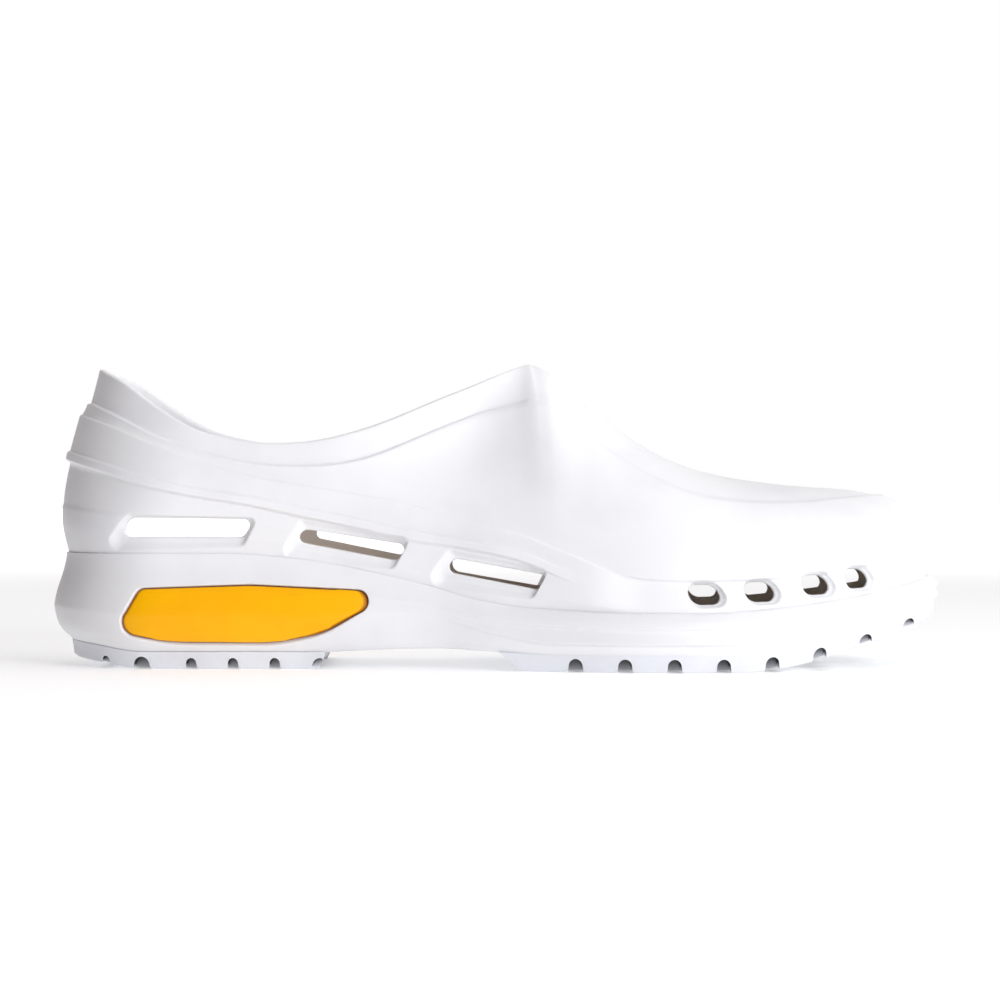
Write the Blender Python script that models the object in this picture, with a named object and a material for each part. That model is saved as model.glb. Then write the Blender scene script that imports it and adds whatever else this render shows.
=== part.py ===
"""Closed-back hospital clog for a right foot, as the pieces that are put together.

The pieces are the hollow moulded upper, the sole unit, two tread pads, the footbed
and the two coloured inserts in the heel's sides.

The frame has +X towards the toe, +Y towards the inner side of the foot and +Z up.
The origin is on the ground, under the middle of the shoe's box. Sizes are named in
millimetres and turned into metres when a mesh is made. A table's first column is the
place along the shoe, as a share of its length from the heel's back to the toe's tip.
"""

import math
from collections import namedtuple

import bmesh
import bpy
import numpy as np

MM = 0.001

# Overall sizes
LENGTH = 290.8
BALL_WIDTH = 108.0
TOE_SWING = 6.0
HEEL_ROUND = 0.13
TOE_ROUND_LATERAL = 0.37
TOE_ROUND_MEDIAL = 0.25

# Heights of the upper
BACK_HEIGHT = 96.5
INSTEP_HEIGHT = 98.0
TOE_HEIGHT = 57.0
COLLAR_DIP = 25.0
COLLAR_WIDTH = 66.0

# Walls, steps and clearance
WALL = 2.8
GAP = 0.3
COLLAR_LEDGE = 1.1
BAND_BEVEL = 0.6
BAND_LEDGE = 0.7
RIB_PROUD = 0.8
RIB_WIDTH = 3.0
RIB_DROP = 1.0
TOE_GROOVE = 1.4
STEP_WIDTH = 0.9
BULGE = 3.4

# The sole unit, its tread pads and the footbed
RIM_HEIGHT = 37.0
RIM_INSET = 4.7
SOLE_LEDGE = 0.6
SIDE_UNDERCUT = 6.3
PAD_THICKNESS = 5.0
PAD_TOE_THINNING = 2.0
HEEL_PAD_INSET = 5.8
HEEL_PAD_TAPER = 1.7
FOREFOOT_PAD_INSET = 2.4
FOREFOOT_PAD_TAPER = 0.8
TOE_SPRING = 16.7
HEEL_BEVEL = 3.6
ARCH_RISE = 1.6
ARCH_HOLLOW = 3.0
FOOTBED_HEIGHT = 29.5
FOOTBED_THICKNESS = 4.0
FOOTBED_CUP = 2.0
FOOTBED_CHAMFER = 0.7
CUP_TAPER = 0.4

# Tread grooves
GROOVE_WIDTH = 4.0
GROOVE_DEPTH = 4.2
CHANNEL_WIDTH = 3.0
CHANNEL_DEPTH = 3.0
CHANNEL_SPACING = 24.0
HEEL_GROOVE_PITCH = 13.3
FOREFOOT_GROOVE_PITCH = 15.4

# Side inserts
INSERT_DEPTH = 3.0
INSERT_SINK = 0.7
INSERT_RADIUS = 4.0

# Vents
VENT_RADIUS = 3.0
VENT_RECESS_DEPTH = 2.0
TOE_VENT_LENGTH = 16.0
TOE_VENT_HEIGHT = 9.0
TOE_RECESS_DEPTH = 2.0

# Where things start and end along the shoe
BACK_AT = 0.0506
THROAT_AT = 0.534
RIDGE_END_AT = 0.8875
THROAT_FOOT_AT = 0.555
HEEL_PAD_START = 0.022
HEEL_PAD_END = 0.305
HEEL_PAD_SLANT = 0.006
FOREFOOT_PAD_START = 0.500
FOREFOOT_PAD_SLANT = 0.024
FOREFOOT_PAD_END = 0.994
HEEL_GROOVE_AT = 0.118
FOREFOOT_GROOVE_AT = 0.583

# Fineness of the meshes
COLLAR_COLUMNS = 18
VAMP_COLUMNS = 16
SOLE_COLUMNS = 35
FOOTBED_COLUMNS = 26
INSERT_COLUMNS = 13
HEEL_PAD_COLUMNS = 13
FOREFOOT_PAD_COLUMNS = 20
PROFILE_SAMPLES = 81
OUTLINE_SAMPLES = 401
INNER_ROWS = (0, 2, 4, 7, 10, 13, 15)
CORNER_STEPS = 4
CAP_STRIPS = 4

LATERAL = -1
MEDIAL = 1
SIDE_NAME = {LATERAL: "lateral", MEDIAL: "medial"}

# Half widths of the sole from its curved axis, as shares of the ball width, before
# the round ends take them to nothing.
Outline = namedtuple("Outline", "along lateral medial")
OUTLINE = (
    Outline(0.00, 0.345, 0.345),
    Outline(0.15, 0.345, 0.340),
    Outline(0.30, 0.350, 0.325),
    Outline(0.42, 0.375, 0.315),
    Outline(0.52, 0.432, 0.345),
    Outline(0.62, 0.505, 0.410),
    Outline(0.72, 0.552, 0.455),
    Outline(0.82, 0.568, 0.465),
    Outline(1.00, 0.572, 0.460),
)

# The top rim of the sole unit, on which the upper stands, as a share of its height
# at the heel.
Rim = namedtuple("Rim", "along height")
RIM = (
    Rim(0.00, 0.995),
    Rim(0.13, 1.000),
    Rim(0.20, 1.000),
    Rim(0.26, 0.970),
    Rim(0.31, 0.920),
    Rim(0.36, 0.845),
    Rim(0.42, 0.735),
    Rim(0.47, 0.625),
    Rim(0.51, 0.565),
    Rim(0.57, 0.530),
    Rim(0.64, 0.508),
    Rim(0.71, 0.510),
    Rim(0.80, 0.550),
    Rim(0.90, 0.650),
    Rim(0.95, 0.725),
    Rim(1.00, 0.810),
)

# The ground line: shares of the toe spring, of the heel's bevel and of the arch's
# rise.
Ground = namedtuple("Ground", "along spring bevel arch")
GROUND = (
    Ground(0.000, 0.00, 1.00, 0.00),
    Ground(0.055, 0.00, 0.55, 0.00),
    Ground(0.110, 0.00, 0.00, 0.00),
    Ground(0.290, 0.00, 0.00, 0.00),
    Ground(0.360, 0.00, 0.00, 0.55),
    Ground(0.430, 0.00, 0.00, 1.00),
    Ground(0.500, 0.00, 0.00, 0.40),
    Ground(0.550, 0.00, 0.00, 0.00),
    Ground(0.760, 0.00, 0.00, 0.00),
    Ground(0.800, 0.05, 0.00, 0.00),
    Ground(0.840, 0.18, 0.00, 0.00),
    Ground(0.880, 0.37, 0.00, 0.00),
    Ground(0.920, 0.57, 0.00, 0.00),
    Ground(0.960, 0.79, 0.00, 0.00),
    Ground(1.000, 1.00, 0.00, 0.00),
)

# The top of the footbed, as a share of its height under the heel.
Footbed = namedtuple("Footbed", "along height")
FOOTBED = (
    Footbed(0.00, 1.010),
    Footbed(0.15, 1.000),
    Footbed(0.25, 1.000),
    Footbed(0.33, 0.950),
    Footbed(0.42, 0.825),
    Footbed(0.50, 0.690),
    Footbed(0.58, 0.590),
    Footbed(0.70, 0.545),
    Footbed(0.80, 0.585),
    Footbed(0.90, 0.735),
    Footbed(1.00, 0.950),
)

# The sole unit's side, from its lower edge up: how high each edge runs between the
# underside and the rim, and how far it lies inside the widest outline, as a share of
# the side's undercut.
Edge = namedtuple("Edge", "heel_up waist_up ball_up heel_in waist_in ball_in")
SIDE_EDGES = (
    Edge(0.00, 0.00, 0.00, 1.000, 0.730, 0.413),
    Edge(0.07, 0.07, 0.07, 0.571, 0.540, 0.365),
    Edge(0.17, 0.18, 0.14, 0.190, 0.365, 0.333),
    Edge(0.36, 0.50, 0.22, 0.000, 0.286, 0.317),
    Edge(0.42, 0.54, 0.27, 0.016, 0.254, 0.063),
    Edge(0.52, 0.60, 0.42, 0.111, 0.270, 0.159),
    Edge(0.62, 0.66, 0.59, 0.238, 0.302, 0.286),
    Edge(0.67, 0.70, 0.64, 0.317, 0.286, 0.079),
    Edge(0.79, 0.80, 0.79, 0.492, 0.429, 0.222),
    Edge(0.92, 0.92, 0.92, 0.619, 0.571, 0.476),
)
HEEL_AT = 0.28
WAIST_AT = 0.42
BALL_AT = 0.56

# How each section of the upper rises from the rim to its top: the lower handle's
# height and flare, and the upper handle's reach, lean and drop. Flare and lean are
# shares of the upper's bulge, and the rest are shares of the section's own size.
Section = namedtuple("Section", "along rise flare reach lean drop")
SECTIONS = (
    Section(0.000, 0.33, 1.000, 0.00, 1.412, 0.33),
    Section(0.150, 0.33, 0.706, 0.00, 0.647, 0.33),
    Section(0.350, 0.34, 0.588, 0.00, 0.353, 0.33),
    Section(0.450, 0.42, 0.647, 0.12, 0.471, 0.28),
    Section(0.520, 0.48, 0.706, 0.40, 0.000, 0.12),
    Section(0.560, 0.52, 0.706, 0.52, 0.000, 0.02),
    Section(0.650, 0.58, 0.588, 0.60, 0.000, 0.00),
    Section(0.800, 0.62, 0.471, 0.66, 0.000, 0.00),
    Section(1.000, 0.62, 0.588, 0.66, 0.000, 0.00),
)

# The collar's dip and its half width, along the opening from back to throat.
Collar = namedtuple("Collar", "along dip width")
COLLAR = (
    Collar(0.000, 0.000, 0.98),
    Collar(0.070, 0.190, 0.98),
    Collar(0.150, 0.500, 0.99),
    Collar(0.235, 0.780, 1.00),
    Collar(0.320, 0.925, 1.00),
    Collar(0.420, 1.000, 1.00),
    Collar(0.500, 0.985, 1.00),
    Collar(0.635, 0.820, 0.98),
    Collar(0.815, 0.425, 0.94),
    Collar(0.935, 0.150, 0.90),
    Collar(1.000, 0.000, 0.88),
)
COLLAR_HEEL_ROUND = 0.26
COLLAR_THROAT_ROUND = 0.46

# The fall of the top line from the throat to the toe.
Fall = namedtuple("Fall", "along share")
RIDGE_FALL = (
    Fall(0.000, 0.000),
    Fall(0.054, 0.050),
    Fall(0.165, 0.285),
    Fall(0.294, 0.541),
    Fall(0.389, 0.690),
    Fall(0.514, 0.829),
    Fall(0.628, 0.900),
    Fall(0.813, 0.966),
    Fall(1.000, 1.000),
)
RIDGE_SPACING = 0.92

# The three step lines of the upper: the edge of the collar band and top panel, as a
# share of the top line's height there, then the upper edge of the side band and toe
# groove, and the top of the side rib, as shares of the back's height.
Step = namedtuple("Step", "along panel band rib")
STEP_LINES = (
    Step(0.015, 0.892, 0.858, 0.722),
    Step(0.080, 0.870, 0.780, 0.667),
    Step(0.120, 0.872, 0.720, 0.630),
    Step(0.170, 0.889, 0.684, 0.598),
    Step(0.230, 0.890, 0.650, 0.570),
    Step(0.290, 0.884, 0.606, 0.533),
    Step(0.350, 0.883, 0.572, 0.494),
    Step(0.410, 0.893, 0.533, 0.452),
    Step(0.470, 0.898, 0.487, 0.424),
    Step(0.530, 0.873, 0.438, 0.384),
    Step(0.570, 0.873, 0.391, 0.335),
    Step(0.640, 0.870, 0.310, 0.258),
    Step(0.700, 0.859, 0.296, 0.246),
    Step(0.760, 0.869, 0.297, 0.248),
    Step(0.840, 0.908, 0.312, 0.270),
    Step(0.900, 0.948, 0.338, 0.298),
    Step(1.000, 0.958, 0.376, 0.342),
)

# Corners of the side vents and of the recess round each, along the shoe and as
# shares of the rim's height, and the radius of each as a share of a vent's corner
# radius. They run from the lower back corner round over the top.
Corner = namedtuple("Corner", "along height radius")
Vent = namedtuple("Vent", "opening recess")
SIDE_VENTS = (
    Vent(
        (
            Corner(0.0900, 1.146, 0.87),
            Corner(0.0995, 1.303, 0.93),
            Corner(0.2325, 1.290, 0.47),
            Corner(0.2205, 1.146, 0.80),
        ),
        (
            Corner(0.0615, 1.008, 1.00),
            Corner(0.0965, 1.334, 0.53),
            Corner(0.2385, 1.306, 0.53),
            Corner(0.2215, 1.046, 0.80),
        ),
    ),
    Vent(
        (
            Corner(0.2810, 1.100, 0.87),
            Corner(0.2860, 1.245, 0.80),
            Corner(0.4000, 1.090, 0.53),
            Corner(0.3900, 0.935, 0.73),
        ),
        (
            Corner(0.2570, 0.948, 1.13),
            Corner(0.2840, 1.290, 0.53),
            Corner(0.4055, 1.130, 0.60),
            Corner(0.3850, 0.852, 0.87),
        ),
    ),
    Vent(
        (
            Corner(0.4455, 0.850, 0.87),
            Corner(0.4490, 0.980, 0.80),
            Corner(0.5525, 0.826, 0.53),
            Corner(0.5430, 0.690, 0.73),
        ),
        (
            Corner(0.4150, 0.722, 1.20),
            Corner(0.4465, 1.032, 0.53),
            Corner(0.5560, 0.870, 0.60),
            Corner(0.5370, 0.606, 0.87),
        ),
    ),
)
MEDIAL_VENT_LENGTHENING = 0.020

# One toe vent, along the wall from its middle as shares of its length, and up and
# round its corners as shares of its height.
Mark = namedtuple("Mark", "forward up radius")
TOE_OPENING = (
    Mark(-0.306, -0.333, 0.322),
    Mark(-0.412, 0.367, 0.322),
    Mark(0.200, 0.389, 0.333),
    Mark(0.325, -0.311, 0.322),
)
TOE_RECESS = (
    Mark(-0.275, -0.489, 0.356),
    Mark(-0.475, 0.444, 0.289),
    Mark(0.188, 0.500, 0.356),
    Mark(0.525, -0.444, 0.311),
)

# Where the toe vents stand, and their heights as shares of the rim's height.
ToeVent = namedtuple("ToeVent", "lateral lateral_up medial medial_up")
TOE_VENTS = (
    ToeVent(0.7235, 0.654, 0.7400, 0.630),
    ToeVent(0.7850, 0.676, 0.8030, 0.645),
    ToeVent(0.8480, 0.730, 0.8660, 0.695),
    ToeVent(0.8960, 0.778, 0.9120, 0.745),
)

# Corners of the side insert, along the shoe and as shares of the rim's height, with
# radii as shares of the insert's corner radius.
INSERT_CORNERS = (
    Corner(0.0850, 0.330, 1.00),
    Corner(0.1070, 0.705, 0.88),
    Corner(0.2300, 0.738, 15.00),
    Corner(0.3560, 0.690, 1.00),
    Corner(0.3600, 0.560, 0.88),
    Corner(0.2780, 0.235, 7.50),
    Corner(0.1420, 0.232, 4.50),
)

WHITE = (0.86, 0.87, 0.88, 1.0)
TREAD_WHITE = (0.80, 0.81, 0.83, 1.0)
FOOTBED_WHITE = (0.84, 0.84, 0.84, 1.0)
INSERT_YELLOW = (1.0, 0.52, 0.0, 1.0)


def column(table, name):
    """One named column of a table, as an array."""
    return np.array([getattr(row, name) for row in table])


def smooth(stations, values, at):
    """Value on a smooth curve through a table's rows that never overshoots them.

    Cubic pieces join the rows. The slope at a row is the mean of its neighbours'
    slopes, at most three times the smaller, and nothing where they differ in sign.
    """
    at = np.clip(at, stations[0], stations[-1])
    rise = np.diff(values) / np.diff(stations)
    mean = (rise[1:] + rise[:-1]) / 2
    least = 3 * np.minimum(abs(rise[1:]), abs(rise[:-1]))
    inner = np.where(rise[1:] * rise[:-1] <= 0, 0, np.clip(mean, -least, least))
    slope = np.concatenate([rise[:1], inner, rise[-1:]])
    row = np.clip(np.searchsorted(stations, at, side="right") - 1, 0, len(rise) - 1)
    span = stations[row + 1] - stations[row]
    t = (at - stations[row]) / span
    start, end = values[row], values[row + 1]
    return (
        start * (1 + 2 * t) * (1 - t) ** 2
        + slope[row] * span * t * (1 - t) ** 2
        + end * t * t * (3 - 2 * t)
        + slope[row + 1] * span * t * t * (t - 1)
    )


def curve(table, name, at):
    """A table's named column, read at places along the shoe."""
    return smooth(column(table, "along"), column(table, name), np.asarray(at, float))


def ease(at, start, end):
    """Goes smoothly from 0 at start to 1 at end."""
    t = np.clip((np.asarray(at, float) - start) / (end - start), 0, 1)
    return t * t * (3 - 2 * t)


def x_of(along):
    """X of a place along the shoe, in mm."""
    return (np.asarray(along, float) - 0.5) * LENGTH


def along_of(x):
    """Share of the length at an X in mm."""
    return np.asarray(x, float) / LENGTH + 0.5


def axis_y(along):
    """Y of the shoe's curved axis, which swings to the inner side at the toe."""
    return TOE_SWING * ease(along, 0.35, 1.0)


def rim_z(x):
    """Height of the rim between sole unit and upper."""
    return RIM_HEIGHT * curve(RIM, "height", along_of(x))


def ground_z(x):
    """Height of the tread's lower face, 0 where the shoe stands."""
    along = along_of(x)
    return TOE_SPRING * curve(GROUND, "spring", along) + HEEL_BEVEL * curve(
        GROUND, "bevel", along
    )


def underside_z(x):
    """Height of the sole unit's underside, above the tread pads."""
    along = along_of(x)
    pad = PAD_THICKNESS - PAD_TOE_THINNING * curve(GROUND, "spring", along)
    return ground_z(x) + pad + GAP + ARCH_RISE * curve(GROUND, "arch", along)


def footbed_z(x):
    """Height of the footbed's top along its middle."""
    return FOOTBED_HEIGHT * curve(FOOTBED, "height", along_of(x))


def side_outline(side, inset):
    """One side of the plan outline from heel to toe, moved inwards by inset.

    The half width from the axis is read from the table and multiplied by a quarter
    ellipse at each end. inset is one size in mm, or a function of the place along.
    """
    along = (1 - np.cos(np.pi * np.linspace(0, 1, OUTLINE_SAMPLES))) / 2
    toe_round = TOE_ROUND_LATERAL if side == LATERAL else TOE_ROUND_MEDIAL
    heel_end = np.sqrt(1 - (1 - np.clip(along / HEEL_ROUND, 0, 1)) ** 2)
    toe_share = np.clip((along - 1 + toe_round) / toe_round, 0, 1)
    toe_end = np.sqrt(1 - toe_share**2)
    half = BALL_WIDTH * curve(OUTLINE, SIDE_NAME[side], along) * heel_end * toe_end
    points = np.stack([x_of(along), axis_y(along) + side * half], axis=1)
    tangent = np.gradient(points, axis=0)
    tangent /= np.linalg.norm(tangent, axis=1)[:, None]
    outward = side * np.stack([-tangent[:, 1], tangent[:, 0]], axis=1)
    outward[0], outward[-1] = (-1, 0), (1, 0)
    depth = inset(along) if callable(inset) else inset
    return points - outward * np.reshape(depth, (-1, 1)), outward


def spread(points, count, extra=()):
    """A path's points at steps of its length, with other values beside them.

    The steps at both ends are half as long as even ones, and in the middle half as
    long again.
    """
    steps = np.linalg.norm(np.diff(points, axis=0), axis=1)
    length = np.concatenate([[0], np.cumsum(steps)])
    share = np.linspace(0, 1, count)
    at = length[-1] * (share - np.sin(2 * np.pi * share) / (4 * np.pi))
    return [
        np.stack([np.interp(at, length, values) for values in array.T], axis=1)
        for array in (points, *extra)
    ]


def collar_points(side, count):
    """The collar's edge on one side from the heel's back to the throat.

    Its half width is a quarter ellipse at each end, and its height falls by the
    collar's dip from a line between the back and the throat.
    """
    share = (1 - np.cos(np.pi * np.linspace(0, 1, count))) / 2
    along = BACK_AT + (THROAT_AT - BACK_AT) * share
    heel_end = np.sqrt(1 - (1 - np.clip(share / COLLAR_HEEL_ROUND, 0, 1)) ** 2)
    front = np.clip((share - 1 + COLLAR_THROAT_ROUND) / COLLAR_THROAT_ROUND, 0, 1)
    half = COLLAR_WIDTH / 2 * curve(COLLAR, "width", share) * heel_end
    half = half * np.sqrt(1 - front**2)
    height = BACK_HEIGHT + (INSTEP_HEIGHT - BACK_HEIGHT) * ease(share, 0, 1)
    height = height - COLLAR_DIP * curve(COLLAR, "dip", share)
    return np.stack([x_of(along), axis_y(along) + side * half, height], axis=1)


def ridge_points(count):
    """The top line from the throat to the toe, falling as its table says."""
    share = np.linspace(0, 1, count) ** RIDGE_SPACING
    along = THROAT_AT + (RIDGE_END_AT - THROAT_AT) * share
    fall = (INSTEP_HEIGHT - TOE_HEIGHT) * curve(RIDGE_FALL, "share", share)
    return np.stack([x_of(along), axis_y(along), INSTEP_HEIGHT - fall], axis=1)


def base_surface(side):
    """The upper's smooth outer surface on one side, with its outward normals.

    Each column is a cubic curve from the rim to the collar's edge or the top line.
    Its handles rise from the rim and reach outwards from the top as the sections'
    table says. The result is columns by samples by 3. At the toe's top the columns run
    together, so that its last point takes its neighbour's normal.
    """
    foot, outward = side_outline(side, RIM_INSET)
    split = np.searchsorted(foot[:, 0], x_of(THROAT_FOOT_AT))
    collar_feet = spread(foot[: split + 1], COLLAR_COLUMNS, (outward[: split + 1],))
    vamp_feet = spread(foot[split:], VAMP_COLUMNS, (outward[split:],))
    foot, outward = (
        np.concatenate([a, b[1:]]) for a, b in zip(collar_feet, vamp_feet)
    )
    outward /= np.linalg.norm(outward, axis=1)[:, None]
    edge = collar_points(side, COLLAR_COLUMNS)
    top = np.concatenate([edge, ridge_points(VAMP_COLUMNS)[1:]])
    foot = np.column_stack([foot, rim_z(foot[:, 0])])
    outward = np.column_stack([outward, np.zeros(len(outward))])

    def handle(name):
        return curve(SECTIONS, name, along_of(foot[:, 0]))[:, None]

    height = (top - foot)[:, 2:]
    up = np.array([0.0, 0.0, 1.0])
    plan = (foot - top) * (1, 1, 0)
    low = foot + handle("rise") * height * up + handle("flare") * BULGE * outward
    high = top + handle("reach") * plan + handle("lean") * BULGE * outward
    high = high - handle("drop") * height * up
    t = np.linspace(0, 1, PROFILE_SAMPLES)[None, :, None]
    surface = (
        foot[:, None] * (1 - t) ** 3
        + 3 * low[:, None] * t * (1 - t) ** 2
        + 3 * high[:, None] * t * t * (1 - t)
        + top[:, None] * t**3
    )
    normals = side * np.cross(
        np.gradient(surface, axis=1), np.gradient(surface, axis=0)
    )
    normals[-1, -1] = normals[-1, -2]
    normals /= np.linalg.norm(normals, axis=2)[:, :, None]
    return surface, normals


def share_normals(first, second):
    """Gives both sides the same normals where they meet: heel, toe and top line."""
    for part in (np.s_[0], np.s_[-1], np.s_[COLLAR_COLUMNS - 1 :, -1]):
        mean = first[part] + second[part]
        mean /= np.linalg.norm(mean, axis=-1)[..., None]
        first[part] = second[part] = mean


def crossing(surface, length, name, height):
    """How far up each column a step line crosses it, in mm along the column."""
    line = height * curve(STEP_LINES, name, along_of(surface[:, :, 0]))
    over = surface[:, :, 2] - line
    return np.array([np.interp(0, o, s) for o, s in zip(over, length)])


def row_places(surface, length):
    """Where the rows of the upper's grid run, and how far each stands proud.

    The rows lie in pairs, a step's width apart, on both sides of each step line, with
    plain rows between them. A row's place is in mm up its column from the rim.
    """
    top_line = np.interp(surface[:, :, 0], surface[:, -1, 0], surface[:, -1, 2])
    rib = crossing(surface, length, "rib", BACK_HEIGHT)
    band = crossing(surface, length, "band", BACK_HEIGHT)
    panel = crossing(surface, length, "panel", top_line)
    top = length[:, -1]
    along = along_of(surface[:, 0, 0])
    ribbed = 1 - ease(along, 0.50, 0.60)
    grooved = ease(along, 0.60, 0.66)
    half = STEP_WIDTH / 2
    rib_foot = rib - RIB_WIDTH
    side_proud = COLLAR_LEDGE + BAND_BEVEL * (1 - ease(along, 0.45, 0.62))
    low_proud = side_proud + BAND_LEDGE * (1 - grooved) - TOE_GROOVE * grooved
    slot_proud = low_proud - ribbed * RIB_DROP
    panel_proud = COLLAR_LEDGE + 0 * along
    plain = 0 * along
    return (
        (0 * rib, plain),
        (0.30 * rib_foot, 0.7 * slot_proud),
        (0.65 * rib_foot, slot_proud),
        (rib_foot - half, slot_proud),
        (rib_foot + half, low_proud + RIB_PROUD * ribbed),
        (rib - half, low_proud + RIB_PROUD * ribbed),
        (rib + half, low_proud),
        (band - half, low_proud),
        (band + half, side_proud),
        (band + 0.35 * (panel - band), (side_proud + panel_proud) / 2),
        (band + 0.70 * (panel - band), panel_proud),
        (panel - half, panel_proud),
        (panel + half, plain),
        (panel + 0.35 * (top - panel), plain),
        (panel + 0.70 * (top - panel), plain),
        (top, plain),
    )


def upper_side(surface, normals):
    """The outer and inner grids of one side of the upper, columns by rows by 3.

    The inner grid leaves out the steps' second rows, and follows half of each step.
    """
    steps = np.linalg.norm(np.diff(surface, axis=1), axis=2)
    length = np.concatenate([np.zeros((len(steps), 1)), np.cumsum(steps, 1)], axis=1)
    outer, inner = [], []
    for number, (place, proud) in enumerate(row_places(surface, length)):
        point, normal = (
            np.array(
                [
                    [np.interp(p, s, axis) for axis in one.T]
                    for p, s, one in zip(place, length, array)
                ]
            )
            for array in (surface, normals)
        )
        outer.append(point + normal * proud[:, None])
        if number in INNER_ROWS:
            inner.append(point - normal * (WALL - proud[:, None] / 2))
    outer, inner = np.stack(outer, axis=1), np.stack(inner, axis=1)
    inner[:, 0, 2] = rim_z(inner[:, 0, 0])
    return outer, inner


def make_mesh(name, points, faces, weld=0.01):
    """A mesh object from points in mm, with doubles merged and faces pointing out."""
    mesh = bpy.data.meshes.new(name)
    mesh.from_pydata([tuple(p) for p in np.asarray(points) * MM], [], faces)
    build = bmesh.new()
    build.from_mesh(mesh)
    bmesh.ops.remove_doubles(build, verts=build.verts, dist=weld * MM)
    bmesh.ops.dissolve_degenerate(build, edges=build.edges, dist=weld * MM / 10)
    bmesh.ops.recalc_face_normals(build, faces=build.faces)
    build.to_mesh(mesh)
    build.free()
    return bpy.data.objects.new(name, mesh)


def grid_faces(columns, rows, start=0):
    """Quads between the neighbours of a grid stored column by column."""
    faces = []
    for i in range(columns - 1):
        for j in range(rows - 1):
            a = start + i * rows + j
            faces.append((a, a + rows, a + rows + 1, a + 1))
    return faces


def patches_mesh(name, patches):
    """One closed mesh from grids of points whose edges coincide."""
    points, faces = [], []
    for grid in patches:
        faces += grid_faces(grid.shape[0], grid.shape[1], len(points))
        points += list(grid.reshape(-1, 3))
    return make_mesh(name, points, faces)


def loft_mesh(name, rings):
    """A closed mesh through rings of equal count, each end filled from its middle."""
    count = len(rings[0])
    points = [p for ring in rings for p in ring]
    faces = []
    for k in range(len(rings) - 1):
        for i in range(count):
            j = (i + 1) % count
            a = k * count
            faces.append((a + i, a + j, a + count + j, a + count + i))
    for ring, start in ((rings[0], 0), (rings[-1], (len(rings) - 1) * count)):
        middle = len(points)
        points.append(np.mean(ring, axis=0))
        faces += [(start + i, start + (i + 1) % count, middle) for i in range(count)]
    return make_mesh(name, points, faces)


def rounded_outline(corners, steps=CORNER_STEPS):
    """A polygon with round corners: each is (x, z, radius), run the same way round."""
    points = []
    for i, (x, z, radius) in enumerate(corners):
        here = np.array([x, z])
        back = np.array(corners[i - 1][:2]) - here
        ahead = np.array(corners[(i + 1) % len(corners)][:2]) - here
        room = min(np.linalg.norm(back), np.linalg.norm(ahead)) / 2
        back, ahead = back / np.linalg.norm(back), ahead / np.linalg.norm(ahead)
        angle = math.acos(np.clip(back @ ahead, -1, 1))
        reach = min(radius / math.tan(angle / 2), room)
        radius = reach * math.tan(angle / 2)
        bisector = (back + ahead) / np.linalg.norm(back + ahead)
        centre = here + bisector * radius / math.sin(angle / 2)
        start, end = here + back * reach - centre, here + ahead * reach - centre
        for t in np.linspace(0, 1, steps):
            mix = start * (1 - t) + end * t
            points.append(centre + mix / np.linalg.norm(mix) * radius)
    return np.array(points)


def wall_y(surface, x, z):
    """Y of the upper's smooth outer surface at points of the side view."""
    result = []
    for px, pz in zip(x, z):
        level = [
            [np.interp(pz, col[:, 2], col[:, 0]), np.interp(pz, col[:, 2], col[:, 1])]
            for col in surface
        ]
        result.append(np.interp(px, *np.array(level).T))
    return np.array(result)


def side_ring(surface, side, outline, outwards):
    """A side-view outline laid on the wall, then moved out across the shoe."""
    x, z = outline.T
    return np.stack([x, wall_y(surface, x, z) + side * outwards, z], axis=1)


def side_vent_cutter(surface, side, number, vent):
    """Cuts one side vent: a recess that narrows into a slot through the wall."""
    lengthening = MEDIAL_VENT_LENGTHENING if side == MEDIAL and number == 0 else 0

    def outline(corners):
        places = []
        for k, corner in enumerate(corners):
            along = corner.along - (lengthening if k < 2 else 0)
            height = corner.height * RIM_HEIGHT
            places.append((float(x_of(along)), height, corner.radius * VENT_RADIUS))
        return rounded_outline(places)

    opening, recess = outline(vent.opening), outline(vent.recess)
    proud = COLLAR_LEDGE + BAND_LEDGE
    rings = [
        side_ring(surface, side, recess, proud + 4 * WALL),
        side_ring(surface, side, recess, proud),
        side_ring(surface, side, opening, proud - VENT_RECESS_DEPTH),
        side_ring(surface, side, opening, -3 * WALL),
    ]
    return loft_mesh(f"cut_side_vent_{SIDE_NAME[side]}_{number + 1}", rings)


def toe_vent_cutter(surface, side, number, vent):
    """Cuts one toe vent square to the wall where it stands."""
    x = float(x_of(getattr(vent, SIDE_NAME[side])))
    z = getattr(vent, SIDE_NAME[side] + "_up") * RIM_HEIGHT
    reach = TOE_VENT_LENGTH / 8
    y_back, y_here, y_ahead = wall_y(surface, (x - reach, x, x + reach), (z,) * 3)
    forward = np.array([2 * reach, y_ahead - y_back, 0.0])
    forward /= np.linalg.norm(forward)
    outward = side * np.array([-forward[1], forward[0], 0.0])
    up = np.array([0.0, 0.0, 1.0])
    centre = np.array([x, y_here, z])

    def ring(marks, outwards):
        size = (TOE_VENT_LENGTH, TOE_VENT_HEIGHT, TOE_VENT_HEIGHT)
        shape = rounded_outline([tuple(np.multiply(mark, size)) for mark in marks])
        return centre + shape[:, :1] * forward + shape[:, 1:] * up + outwards * outward

    proud = COLLAR_LEDGE - TOE_GROOVE
    rings = [
        ring(TOE_RECESS, proud + 3 * WALL),
        ring(TOE_RECESS, proud + GAP),
        ring(TOE_OPENING, proud - TOE_RECESS_DEPTH),
        ring(TOE_OPENING, -3 * WALL),
    ]
    return loft_mesh(f"cut_toe_vent_{SIDE_NAME[side]}_{number + 1}", rings)


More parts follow.
